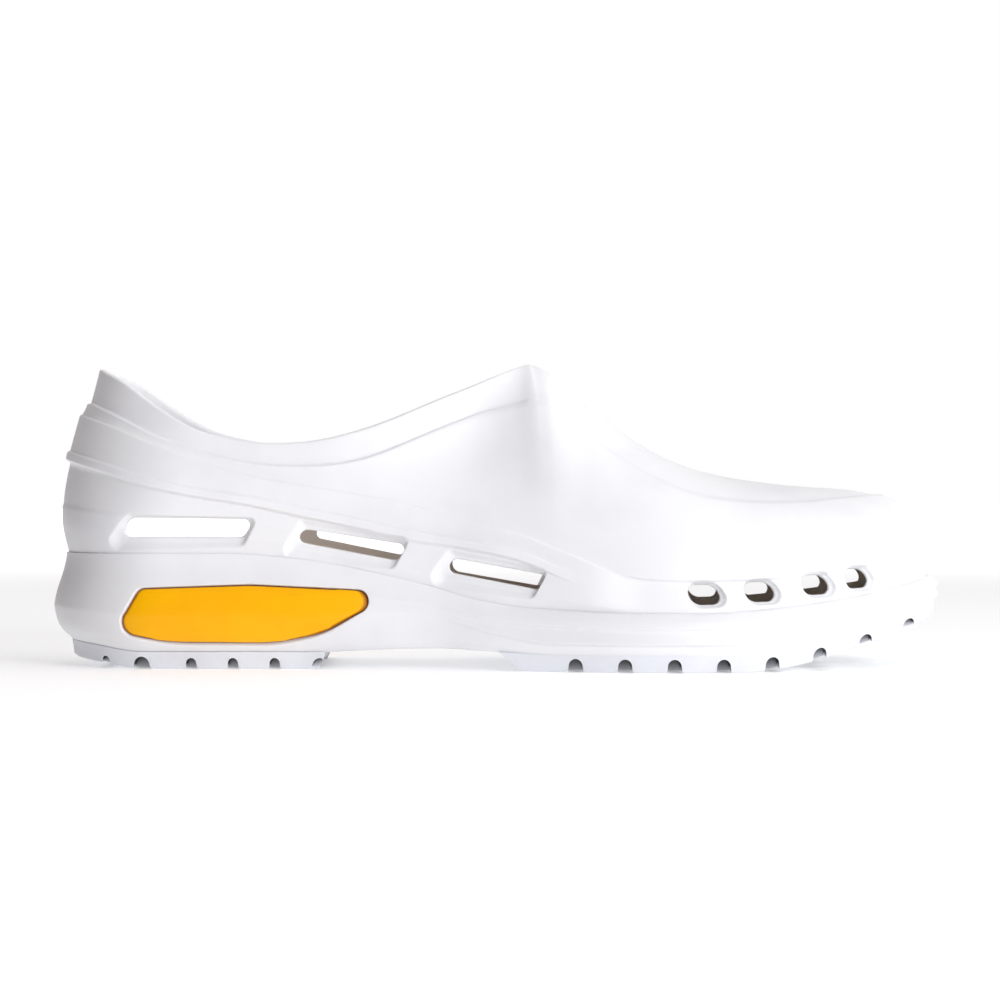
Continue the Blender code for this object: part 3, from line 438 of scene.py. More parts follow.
def crossings(height: Array, z: Array) -> tuple[Array, Array, Array]:
    """Where each column of a surface crosses each height.

    Args:
        height: one height for each point that is looked for.
        z: the surface's heights, columns by samples.

    Returns:
        The column numbers, the sample above each crossing, and the share of the way
        to it from the sample below. The last two are points by columns.
    """
    index = np.clip((z[None] < height[:, None, None]).sum(axis=2), 1, z.shape[1] - 1)
    column = np.arange(len(z))[None]
    low, high = z[column, index - 1], z[column, index]
    share = np.clip((height[:, None] - low) / np.maximum(high - low, 1e-9), 0, 1)
    return column, index, share


def corner_ways(corners: Array) -> tuple[Array, Array, Array]:
    """The ways from a polygon's corners to their neighbours, and half their angles.

    Args:
        corners: rows of x, z and radius.

    Returns:
        The ways to the corner before and to the one after, and half of each angle.
    """
    here = corners[:, :2]
    back, ahead = (np.roll(here, turn, axis=0) - here for turn in (1, -1))
    cosine = (unit(back) * unit(ahead)).sum(axis=1, keepdims=True)
    return back, ahead, np.arccos(np.clip(cosine, -1, 1)) / 2


def corner_arcs(corners: Array, steps: int) -> Array:
    """The round arc at each corner of a polygon.

    An arc touches both edges, at half an edge from the corner at most. Its points
    stand over even steps of its chord, at the radius from its centre.

    Args:
        corners: rows of x, z and radius.
        steps: points on each arc.

    Returns:
        Corners by steps by 2.
    """
    here, radius = corners[:, :2], corners[:, 2:]
    back, ahead, half = corner_ways(corners)
    lengths = [np.linalg.norm(way, axis=1, keepdims=True) for way in (back, ahead)]
    back, ahead = unit(back), unit(ahead)
    reach = np.minimum(radius / np.tan(half), np.minimum(*lengths) / 2)
    radius = reach * np.tan(half)
    centre = here + unit(back + ahead) * radius / np.sin(half)
    first, last = here + back * reach - centre, here + ahead * reach - centre
    share = np.linspace(0, 1, steps)[None, :, None]
    mix = first[:, None] * (1 - share) + last[:, None] * share
    return centre[:, None] + unit(mix) * radius[:, None]


def drawn_in(corners: Array, by: float) -> Array:
    """A polygon moved inwards, so that each of its edges moves by one distance.

    Args:
        corners: rows of x, z and radius.
        by: the distance.

    Returns:
        The moved corners, with smaller radii.
    """
    back, ahead, half = corner_ways(corners)
    moved = corners[:, :2] + unit(unit(back) + unit(ahead)) * by / np.sin(half)
    return np.column_stack([moved, corners[:, 2] - by])


def contour(
    corners: Array, groups: tuple[tuple[int, ...], ...], across: int, up: int
) -> Array:
    """A round-cornered outline as one ring of points, matched to a block of a grid.

    The ring runs up the back, along the top, down the front and back along the
    bottom. The arcs of a group's corners belong to that stretch.

    Args:
        corners: rows of x, z and radius.
        groups: the corners that belong to the back, top, front and bottom.
        across: steps along the top and along the bottom.
        up: steps up the back and down the front.

    Returns:
        The ring's points, without the first repeated.
    """
    arcs = corner_arcs(corners, ARC_STEPS)
    back = np.concatenate([arcs[k] for k in groups[0]])
    front = np.concatenate([arcs[k] for k in groups[2]])
    top = np.concatenate([back[-1:], *[arcs[k] for k in groups[1]], front[:1]])
    bottom = np.concatenate([front[-1:], *[arcs[k] for k in groups[3]], back[:1]])
    paths = ((back, up), (top, across), (front, up), (bottom, across))
    return np.concatenate([even(path, count + 1)[:-1] for path, count in paths])


def block_ring(start: int, end: int, low: int, high: int) -> tuple[Array, Array]:
    """Column and row numbers round a block of a grid, in a contour's order.

    Args:
        start: the block's first column.
        end: its last column.
        low: its first row.
        high: its last row.

    Returns:
        The ring's column numbers and its row numbers.
    """
    columns, rows = np.arange(start, end), np.arange(low, high)
    back, front = np.full(high - low, start), np.full(high - low, end)
    i = [back, columns, front, columns[::-1] + 1]
    j = [rows, np.full(end - start, high), rows[::-1] + 1, np.full(end - start, low)]
    return np.concatenate(i), np.concatenate(j)


def bend(before: Array, corner: Array, after: Array, t: Array) -> Array:
    """Points on a soft corner: a quadratic curve that is drawn towards the corner."""
    return before * (1 - t) ** 2 + 2 * corner * t * (1 - t) + after * t * t


def rounded(before: Array, corner: Array, after: Array, count: int) -> Array:
    """So many rings on a soft corner, from before to after."""
    return bend(before, corner, after, np.linspace(0, 1, count)[:, None, None])


def between(first: Array, last: Array, shares: Array) -> Array:
    """Rings on the straight way from first to last, at the given shares."""
    shares = np.asarray(shares)[:, None, None]
    return first * (1 - shares) + last * shares


def stopping_short(first: Array, last: Array, soft: float, shares: Array) -> Array:
    """Shares of the ways from ring to ring, that end a soft corner before the last.

    Args:
        first: the ring that the ways start from.
        last: the ring that they lead to.
        soft: how far before it they end, though after 0.6 of the way at least.
        shares: steps up to 1.

    Returns:
        Steps by points by 1.
    """
    distance = np.linalg.norm(first - last, axis=1)
    stop = 1 - np.minimum(soft / np.maximum(distance, 1e-6), 0.4)
    return np.asarray(shares)[:, None, None] * stop[None, :, None]


class Skin:
    """Patches of a piece's surface, gathered and then joined into one closed mesh."""

    def __init__(self) -> None:
        """Starts with no patches."""
        self.points: list[Array] = []
        self.faces: list[Array] = []
        self.inside: list[Array] = []
        self.count = 0

    def grid(
        self,
        points: Array,
        inside: float = 0.0,
        ring: bool = False,
        hidden: Array | None = None,
    ) -> None:
        """Adds quads between the neighbours of a grid of points.

        Args:
            points: first direction by second direction by 3, in mm.
            inside: how much painted shade the patch gets, 0 none and 1 the finish's
                full shade tone within.
            ring: whether the second direction closes on itself.
            hidden: which quads to leave out.
        """
        rows, columns = points.shape[:2]
        index = np.arange(rows * columns).reshape(rows, columns) + self.count
        if ring:
            index = np.concatenate([index, index[:, :1]], axis=1)
        quads = np.stack(
            [index[:-1, :-1], index[1:, :-1], index[1:, 1:], index[:-1, 1:]], axis=-1
        )
        keep = np.ones(quads.shape[:2], bool) if hidden is None else ~hidden
        self.points.append(points.reshape(-1, 3))
        self.faces.append(quads[keep])
        self.inside.append(np.broadcast_to(inside, points.shape[:2]).reshape(-1))
        self.count += rows * columns

    def build(self, name: str, shift: Array, weld: float = 0.004) -> bpy.types.Object:
        """Joins the patches, merges doubles and turns every face outwards.

        Args:
            name: the piece's name.
            shift: how far to move the points, in mm.
            weld: doubles nearer than this become one point, in mm.

        Returns:
            The piece, at the origin, with its place in its mesh.
        """
        mesh = bpy.data.meshes.new(name)
        points = (np.concatenate(self.points) + shift) * MM
        mesh.from_pydata(points, [], np.concatenate(self.faces))
        # The inside attribute carries painted shade: how far each point's colour is
        # darkened towards its finish's shade tone.
        mesh.attributes.new("inside", "FLOAT", "POINT").data.foreach_set(
            "value", np.concatenate(self.inside).astype(np.float32)
        )
        work = bmesh.new()
        work.from_mesh(mesh)
        loose = [vertex for vertex in work.verts if not vertex.link_faces]
        bmesh.ops.delete(work, geom=loose, context="VERTS")
        bmesh.ops.remove_doubles(work, verts=work.verts, dist=weld * MM)
        bmesh.ops.dissolve_degenerate(work, edges=work.edges, dist=weld * MM / 4)
        bmesh.ops.recalc_face_normals(work, faces=work.faces)
        open_edges = sum(1 for edge in work.edges if not edge.is_manifold)
        work.to_mesh(mesh)
        work.free()
        mesh.shade_smooth()
        mesh.set_sharp_from_angle(angle=math.radians(SHARP_DEGREES))
        piece = bpy.data.objects.new(name, mesh)
        bpy.context.scene.collection.objects.link(piece)
        mesh.calc_loop_triangles()
        logger.info(
            "%s: %d triangles, %d open edges",
            name,
            len(mesh.loop_triangles),
            open_edges,
        )
        return piece


@dataclass(frozen=True)
class Last:
    """The shared form of the shoe: its outline, its rim, and where the ground lies."""

    length: float = 290.8
    ball_width: float = 108.0
    toe_swing: float = 6.0
    heel_round: float = 0.13
    rim_height: float = 37.0
    rim_inset: float = 4.7
    pad_thickness: float = 5.0
    pad_toe_thinning: float = 2.0
    toe_spring: float = 16.7
    heel_bevel: float = 3.6
    arch_rise: float = 1.6
    footbed_height: float = 29.5
    wall: float = 2.8
    gap: float = 0.3

    def x_of(self, along: Array) -> Array:
        """X of a place along the shoe, in mm."""
        return (np.asarray(along, float) - 0.5) * self.length

    def along_of(self, x: Array) -> Array:
        """Share of the length at an X in mm."""
        return np.asarray(x, float) / self.length + 0.5

    def axis_y(self, along: Array) -> Array:
        """Y of the curved axis, which swings to the inner side at the toe."""
        return self.toe_swing * ease(along, 0.35, 1.0)

    def rim_z(self, x: Array) -> Array:
        """Height of the rim between sole unit and upper."""
        return self.rim_height * RIM.read("height", self.along_of(x))

    def ground_z(self, x: Array) -> Array:
        """Height of the tread's lower face, 0 where the shoe stands."""
        spring, bevel = (GROUND.read(k, self.along_of(x)) for k in ("spring", "bevel"))
        return self.toe_spring * spring + self.heel_bevel * bevel

    def pad_depth(self, x: Array) -> Array:
        """Thickness of a tread pad, which thins towards the toe."""
        spring = GROUND.read("spring", self.along_of(x))
        return self.pad_thickness - self.pad_toe_thinning * spring

    def underside_z(self, x: Array) -> Array:
        """Height of the sole unit's underside, above the tread pads."""
        arch = self.arch_rise * GROUND.read("arch", self.along_of(x))
        return self.ground_z(x) + self.pad_depth(x) + self.gap + arch

    def footbed_z(self, x: Array) -> Array:
        """Height of the footbed's top along its middle."""
        return self.footbed_height * FOOTBED.read("height", self.along_of(x))

    def outline(
        self, side: Side, inset: float | Callable[[Array], Array]
    ) -> tuple[Array, Array]:
        """One side of the plan outline from heel to toe, moved inwards by inset.

        The half width from the axis is read from the table and multiplied by a
        quarter ellipse at each end.

        Args:
            side: which side of the shoe.
            inset: a size in mm, or a function of the place along.

        Returns:
            The points and their outward directions, both in plan.
        """
        along = (1 - np.cos(np.pi * np.linspace(0, 1, 1601))) / 2
        toe_round = 0.37 if side is Side.LATERAL else 0.25
        heel_end = np.sqrt(1 - (1 - np.clip(along / self.heel_round, 0, 1)) ** 2)
        toe_share = np.clip((along - 1 + toe_round) / toe_round, 0, 1)
        half = self.ball_width * OUTLINE.read(side.name, along) * heel_end
        half = half * np.sqrt(1 - toe_share**2)
        y = self.axis_y(along) + side.value * half
        points = np.stack([self.x_of(along), y], axis=1)
        tangent = unit(np.gradient(points, axis=0))
        outward = side.value * np.stack([-tangent[:, 1], tangent[:, 0]], axis=1)
        outward[0], outward[-1] = (-1, 0), (1, 0)
        depth = inset(along) if callable(inset) else inset
        return points - outward * np.reshape(depth, (-1, 1)), outward


class Wiring:
    """A node tree that is filled one node at a time."""

    def __init__(self, tree: bpy.types.NodeTree) -> None:
        """Keeps the tree."""
        self.tree = tree

    def join(self, node: bpy.types.Node, inputs: dict[str | int, Any]) -> None:
        """Links each input that is given an output, and sets each other one.

        Args:
            node: the node.
            inputs: an output or a constant for each of the inputs named.
        """
        for name, value in inputs.items():
            if isinstance(value, bpy.types.NodeSocket):
                self.tree.links.new(value, node.inputs[name])
            else:
                node.inputs[name].default_value = value

    def add(
        self, kind: str, inputs: dict[str | int, Any] | None = None, **settings: Any
    ) -> bpy.types.Node:
        """Adds one node.

        Args:
            kind: its type, without ShaderNode.
            inputs: an output or a constant for each of the inputs named.
            settings: its other properties, which are set first.

        Returns:
            The node.
        """
        node = self.tree.nodes.new(f"ShaderNode{kind}")
        for name, value in settings.items():
            setattr(node, name, value)
        self.join(node, inputs or {})
        return node

    def ramp(
        self, value: bpy.types.NodeSocket, stops: tuple[tuple[float, Triple], ...]
    ) -> bpy.types.NodeSocket:
        """Adds a colour ramp.

        Args:
            value: what it reads.
            stops: two or more rising places, each with its colour.

        Returns:
            Its colour.
        """
        node = self.add("ValToRGB", {"Fac": value})
        elements = node.color_ramp.elements
        for number, (place, colour) in enumerate(stops):
            element = elements[number] if number < 2 else elements.new(place)
            element.position = place
            element.color = (*colour, 1)
        return node.outputs["Color"]


def new_material(name: str) -> tuple[bpy.types.Material, Wiring, bpy.types.Node]:
    """Starts a node material.

    Args:
        name: its name.

    Returns:
        The material, its wiring and its shader.
    """
    made = bpy.data.materials.new(name)
    made.use_nodes = True
    return made, Wiring(made.node_tree), made.node_tree.nodes["Principled BSDF"]


@dataclass(frozen=True)
class MouldedFinish:
    """A moulded finish: its tones, its roughness, and how strong its grain is."""

    name: str
    colour: Triple
    worn: Triple
    # within: the tone that painted shade takes the colour to.
    within: Triple
    roughness: float
    grain: float
    coat: float = 0.0
    ior: float = 1.45

    def make(self) -> bpy.types.Material:
        """Builds the node material.

        Broad noise shifts the colour between worn and new, the piece's own inside
        attribute paints shade by taking it to the shade colour within, fine noise moves
        the roughness, and two sizes of grain make the bump.

        Returns:
            The material.
        """
        made, wiring, shader = new_material(self.name)
        place = wiring.add("TexCoord").outputs["Object"]
        broad, fine, grain = (
            wiring.add(
                "TexNoise", {"Scale": scale, "Detail": detail, "Vector": place}
            ).outputs["Fac"]
            for scale, detail in ((28, 3), (420, 2), (2600, 3))
        )
        tones = wiring.ramp(broad, ((0.32, self.worn), (0.52, self.colour)))
        # Painted shade: the inside attribute mixes the colour towards within.
        inside = wiring.add("Attribute", attribute_name="inside").outputs["Fac"]
        mixed = {"Factor": inside, "A": tones, "B": (*self.within, 1)}
        rough = {"To Min": self.roughness - 0.06, "To Max": self.roughness + 0.08}
        skin = {"Strength": self.grain, "Distance": 0.0004, "Height": grain}
        skin = wiring.add("Bump", skin).outputs["Normal"]
        waves = {"Strength": self.grain * 0.6, "Distance": 0.0006, "Height": fine}
        waves = wiring.add("Bump", {**waves, "Normal": skin})
        inputs = {
            "Base Color": wiring.add("Mix", mixed, data_type="RGBA").outputs["Result"],
            "Roughness": wiring.add("MapRange", {**rough, "Value": fine}).outputs[0],
            "Normal": waves.outputs["Normal"],
            "Coat Weight": self.coat,
            "Coat Roughness": 0.25,
            "IOR": self.ior,
        }
        wiring.join(shader, inputs)
        return made


@dataclass(frozen=True)
class MouldedFoam(MouldedFinish):
    """White closed-cell foam as it leaves the mould: satin, with a fine skin grain."""

    name: str = "moulded_foam"
    colour: Triple = (0.845, 0.85, 0.872)
    worn: Triple = (0.79, 0.795, 0.825)
    # Painted warm shade for the hollow's inner skin, the cup and the pockets.
    within: Triple = (0.80, 0.71, 0.62)
    roughness: float = 0.46
    grain: float = 0.10
    coat: float = 0.10


@dataclass(frozen=True)
class TreadRubber(MouldedFinish):
    """The tread pads' tougher white compound, a little blue and matt."""

    name: str = "tread_rubber"
    colour: Triple = (0.78, 0.80, 0.85)
    worn: Triple = (0.70, 0.71, 0.76)
    # Near-black painted shade deep in the grooves and channels.
    within: Triple = (0.03, 0.022, 0.03)
    roughness: float = 0.58
    grain: float = 0.16


@dataclass(frozen=True)
class FootbedFoam(MouldedFinish):
    """The loose footbed's soft matt foam."""

    name: str = "footbed_foam"
    colour: Triple = (0.80, 0.80, 0.80)
    worn: Triple = (0.74, 0.73, 0.72)
    within: Triple = (0.74, 0.73, 0.72)
    roughness: float = 0.80
    grain: float = 0.35


@dataclass(frozen=True)
class InsertPlastic(MouldedFinish):
    """The inserts' glossy yellow-orange plastic, with a faint moulding grain."""

    name: str = "insert_plastic"
    colour: Triple = (1.0, 0.49, 0.0)
    worn: Triple = (0.98, 0.43, 0.0)
    # Painted shade where the plate's edge turns down into its pocket, and on its back.
    within: Triple = (0.45, 0.14, 0.0)
    roughness: float = 0.42
    grain: float = 0.05
    ior: float = 1.30


@dataclass(frozen=True)
class PaperFloor:
    """The studio's plain pale sweep, with a painted glow that grows the further away it
    lies.
    """

    name: str = "paper_floor"
    colour: Triple = (0.78, 0.78, 0.785)
    glow_near: tuple[float, float] = (0.6, 0.36)
    glow_far: tuple[float, float] = (1.8, 1.0)

    def make(self) -> bpy.types.Material:
        """Builds a matt material with a very faint mottle.

        Its glow is painted light that rises smoothly with the distance from the shoe:
        it lifts the floor's shadows near it and fades the floor into the sky far off.

        Returns:
            The material.
        """
        made, wiring, shader = new_material(self.name)
        place = wiring.add("TexCoord").outputs["Object"]
        mottle = wiring.add("TexNoise", {"Scale": 3.0, "Vector": place}).outputs["Fac"]
        faint = tuple(0.99 * c for c in self.colour)
        reach = wiring.add("VectorMath", {0: place}, operation="LENGTH")
        # Painted light: the floor's glow, dim near the shoe and full far off.
        (near, dim), (far, full) = self.glow_near, self.glow_far
        glow = {"From Min": near, "From Max": far, "To Min": dim, "To Max": full}
        glow["Value"] = reach.outputs["Value"]
        glow = wiring.add("MapRange", glow, interpolation_type="SMOOTHSTEP")
        inputs = {
            "Base Color": wiring.ramp(mottle, ((0.0, faint), (1.0, self.colour))),
            "Roughness": 0.9,
            "Emission Color": (1, 1, 1, 1),
            "Emission Strength": glow.outputs["Result"],
        }
        wiring.join(shader, inputs)
        return made


def dress(
    piece: bpy.types.Object, finish: bpy.types.Material, node: str, slot: str
) -> None:
    """Gives a piece its finish, and lets it stand for a solid of the frame.

    Args:
        piece: the piece.
        finish: its material.
        node: the solid that it replaces.
        slot: the material slot meant for it; not used.
    """
    piece.data.materials.append(finish)
    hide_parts(node)
    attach(piece, "root")


@dataclass
class Upper:
    """The hollow upper with its steps, scooped side vents and toe vents."""

    last: Last
    shift: Array
    collar_columns: int = 120
    vamp_columns: int = 100
    samples: int = 161
    back_height: float = 96.5
    instep_height: float = 98.0
    toe_height: float = 57.0
    collar_dip: float = 25.0
    collar_width: float = 66.0
    back_at: float = 0.0506
    throat_at: float = 0.534
    ridge_end_at: float = 0.8875
    throat_foot_at: float = 0.555
    bulge: float = 3.4
    collar_ledge: float = 1.1
    band_bevel: float = 0.6
    band_ledge: float = 0.7
    rib_proud: float = 0.8
    rib_width: float = 3.0
    rib_drop: float = 1.0
    toe_groove: float = 1.4
    step_width: float = 0.9
    lip: float = 0.8
    vent_radius: float = 3.0
    vent_depth: float = 2.1
    toe_vent_length: float = 16.0
    toe_vent_height: float = 9.0
    toe_vent_depth: float = 1.9
    side_vent_tops: Triple = (3.0, 5.0, 5.0)
    toe_vent_top: float = 9.0
    soft: float = 0.5
    dish: float = 0.10
    rib_ends: tuple[float, float] = (0.50, 0.60)
    groove_starts: tuple[float, float] = (0.60, 0.66)
    bevel_ends: tuple[float, float] = (0.45, 0.62)
    heel_ledge: float = 0.3
    ledge_along: tuple[float, float] = (0.009, 0.089)
    ledge_height: tuple[float, float] = (52.2, 48.9)
    ledge_soft: float = 0.5
    ledge_fades_down: tuple[float, float] = (38.0, 48.0)
    ledge_fades_ahead: tuple[float, float] = (0.080, 0.095)
    rim_round: float = 0.12
    rim_drop: float = 0.45
    # Depths below the collar's edge over which the inner skin's painted shade builds
    # up.
    painted_shade_depth: tuple[float, float] = (6.0, 40.0)

    def collar_edge(self, side: Side) -> Array:
        """The collar's edge on one side from the heel's back to the throat.

        Its half width is a quarter ellipse at each end, and its height falls by the
        collar's dip from a line between back and throat, less the lip's height.

        Args:
            side: which side of the shoe.

        Returns:
            The edge's points.
        """
        share = (1 - np.cos(np.pi * np.linspace(0, 1, self.collar_columns))) / 2
        along = self.back_at + (self.throat_at - self.back_at) * share
        front = np.clip((share - 0.54) / 0.46, 0, 1)
        half = self.collar_width / 2 * COLLAR.read("width", share)
        half = half * np.sqrt(1 - (1 - np.clip(share / 0.26, 0, 1)) ** 2)
        half = half * np.sqrt(1 - front**2)
        rise = (self.instep_height - self.back_height) * ease(share, 0, 1)
        height = self.back_height + rise - self.lip * (1 - ease(share, 0.85, 1))
        height = height - self.collar_dip * COLLAR.read("dip", share)
        y = self.last.axis_y(along) + side.value * half
        return np.stack([self.last.x_of(along), y, height], axis=1)

    def ridge(self) -> Array:
        """The top line from the throat to the toe, falling as its table says.

        Returns:
            The line's points, closer together towards the toe.
        """
        share = np.linspace(0, 1, self.vamp_columns) ** 0.92
        along = self.throat_at + (self.ridge_end_at - self.throat_at) * share
        drop = (self.instep_height - self.toe_height) * RIDGE_FALL.read("share", share)
        height = self.instep_height - drop
        return np.stack([self.last.x_of(along), self.last.axis_y(along), height], 1)

    def base(self, side: Side) -> tuple[Array, Array]:
        """The smooth outer surface of one side.

        Each column is a cubic curve from the rim to the collar's edge or the top
        line. Its upper handle reaches outwards and falls with the top line's own
        slope, so that both sides meet in one smooth crown.

        Args:
            side: which side of the shoe.

        Returns:
            The surface's points and its outward normals, both columns by samples.
        """
        foot, outward = self.last.outline(side, self.last.rim_inset)
        split = np.searchsorted(foot[:, 0], self.last.x_of(self.throat_foot_at))
        lower = slice(0, split + 1)
        feet = spread(foot[lower], self.collar_columns, (outward[lower],))
        ahead = spread(foot[split:], self.vamp_columns, (outward[split:],))
        foot, outward = (np.concatenate([a, b[1:]]) for a, b in zip(feet, ahead))
        outward = unit(outward)
        ridge = self.ridge()
        top = np.concatenate([self.collar_edge(side), ridge[1:]])
        slope = np.gradient(ridge[:, 2], ridge[:, 0])
        crown = np.arange(len(top)) - self.collar_columns + 1
        slope = slope[np.clip(crown, 0, None)]
        slope = slope * ease(crown, -self.collar_columns / 6, 0)
        foot = np.column_stack([foot, self.last.rim_z(foot[:, 0])])
        outward = np.column_stack([outward, np.zeros(len(outward))])
        along = self.last.along_of(foot[:, 0])
        rise, flare, reach, lean, drop = (
            SECTIONS.read(name, along)[:, None] for name in SECTIONS.names[1:]
        )
        height = (top - foot)[:, 2:]
        up = np.array([0.0, 0.0, 1.0])
        plan = (foot - top) * (1, 1, 0)
        plan[:, 2] = plan[:, 0] * slope
        low = foot + rise * height * up + flare * self.bulge * outward
        high = top + reach * plan + lean * self.bulge * outward - drop * height * up
        t = np.linspace(0, 1, self.samples)[None, :, None]
        surface = foot[:, None] * (1 - t) ** 3 + 3 * low[:, None] * t * (1 - t) ** 2
        surface = surface + 3 * high[:, None] * t * t * (1 - t) + top[:, None] * t**3
        normals = side.value * np.cross(
            np.gradient(surface, axis=1), np.gradient(surface, axis=0)
        )
        normals[-1, -1] = normals[-1, -2]
        return surface, unit(normals)

    def keys(self, surface: Array, length: Array) -> tuple[Array, Array]:
        """Where each column crosses the step lines, and how proud the wall is there.

        Args:
            surface: columns by samples by 3.
            length: how far up its column each sample lies.

        Returns:
            Places in mm up the column, and proud heights, both columns by keys.
        """
        along = self.last.along_of(surface[:, :, 0])
        top_line = np.interp(surface[:, :, 0], surface[:, -1, 0], surface[:, -1, 2])
        lines = {
            "rib": self.back_height * STEP_LINES.read("rib", along),
            "band": self.back_height * STEP_LINES.read("band", along),
            "panel": top_line * STEP_LINES.read("panel", along),
        }
        zero = np.zeros(len(surface))
        rib, band, panel = (
            read_rows(zero, surface[:, :, 2] - lines[name], length) for name in lines
        )
        top, foot_along = length[:, -1], along[:, 0]
        ribbed = 1 - ease(foot_along, *self.rib_ends)
        grooved = ease(foot_along, *self.groove_starts)
        half, rib_foot = self.step_width / 2, rib - self.rib_width
        bevel = self.band_bevel * (1 - ease(foot_along, *self.bevel_ends))
        side_proud = self.collar_ledge + bevel
        low = side_proud + self.band_ledge * (1 - grooved) - self.toe_groove * grooved
        slot = low - ribbed * self.rib_drop
        rib_top = low + self.rib_proud * ribbed
        ledge = zero + self.collar_ledge
        pairs = (
            (zero, zero),
            (0.30 * rib_foot, 0.7 * slot),
            (0.65 * rib_foot, slot),
            (rib_foot - half, slot),
            (rib_foot + half, rib_top),
            (rib - half, rib_top),
            (rib + half, low),
            (band - half, low),
            (band + half, side_proud),
            (band + 0.35 * (panel - band), (side_proud + ledge) / 2),
            (band + 0.70 * (panel - band), ledge),
            (panel - half, ledge),
            (panel + half, zero),
            (panel + 0.35 * (top - panel), zero),
            (panel + 0.70 * (top - panel), zero),
            (top, zero),
        )
        places, prouds = (np.stack(values, axis=1) for values in zip(*pairs))
        return np.maximum.accumulate(places, axis=1), prouds

    def rows(self) -> Array:
        """Row places counted in keys: close together on each step, wider between.

        Returns:
            The places, rising from 0 at the rim.
        """
        step = np.arange(5) / 5
        rows = [np.array(FOOT_ROWS)]
        for key, count in enumerate(ROW_COUNTS, start=1):
            rows.append(key + (np.arange(count) / count if count else step))
        return np.concatenate([*rows, [len(ROW_COUNTS) + 1.0]])

    def side_shell(self, side: Side) -> "UpperSide":
        """Works out one side's surface, its steps and the grid's row places.

        Args:
            side: which side of the shoe.

        Returns:
            The side.
        """
        surface, normals = self.base(side)
        steps = np.linalg.norm(np.diff(surface, axis=1), axis=2)
        zero = np.zeros((len(steps), 1))
        length = np.concatenate([zero, np.cumsum(steps, axis=1)], axis=1)
        places, prouds = self.keys(surface, length)
        rows = self.rows()
        key = np.minimum(rows.astype(int), len(ROW_COUNTS))
        share = rows - key
        at = places[:, key] * (1 - share) + places[:, key + 1] * share
        return UpperSide(self, side, surface, normals, length, places, prouds, rows, at)

    def build(self) -> bpy.types.Object:
        """Builds both sides with their vents, rims and collar lips.

        Returns:
            The piece.
        """
        skin = Skin()
        sides = [self.side_shell(side) for side in Side]
        share_crown(sides[0].normals, sides[1].normals, self.collar_columns)
        for shell in sides:
            shell.add_to(skin)
        return skin.build("upper_skin", self.shift)


def share_crown(first: Array, second: Array, collar: int) -> None:
    """Gives both sides the same normals where they meet: heel, toe and top line."""
    for part in (np.s_[0], np.s_[-1], np.s_[collar - 1 :, -1]):
        first[part] = second[part] = unit(first[part] + second[part])


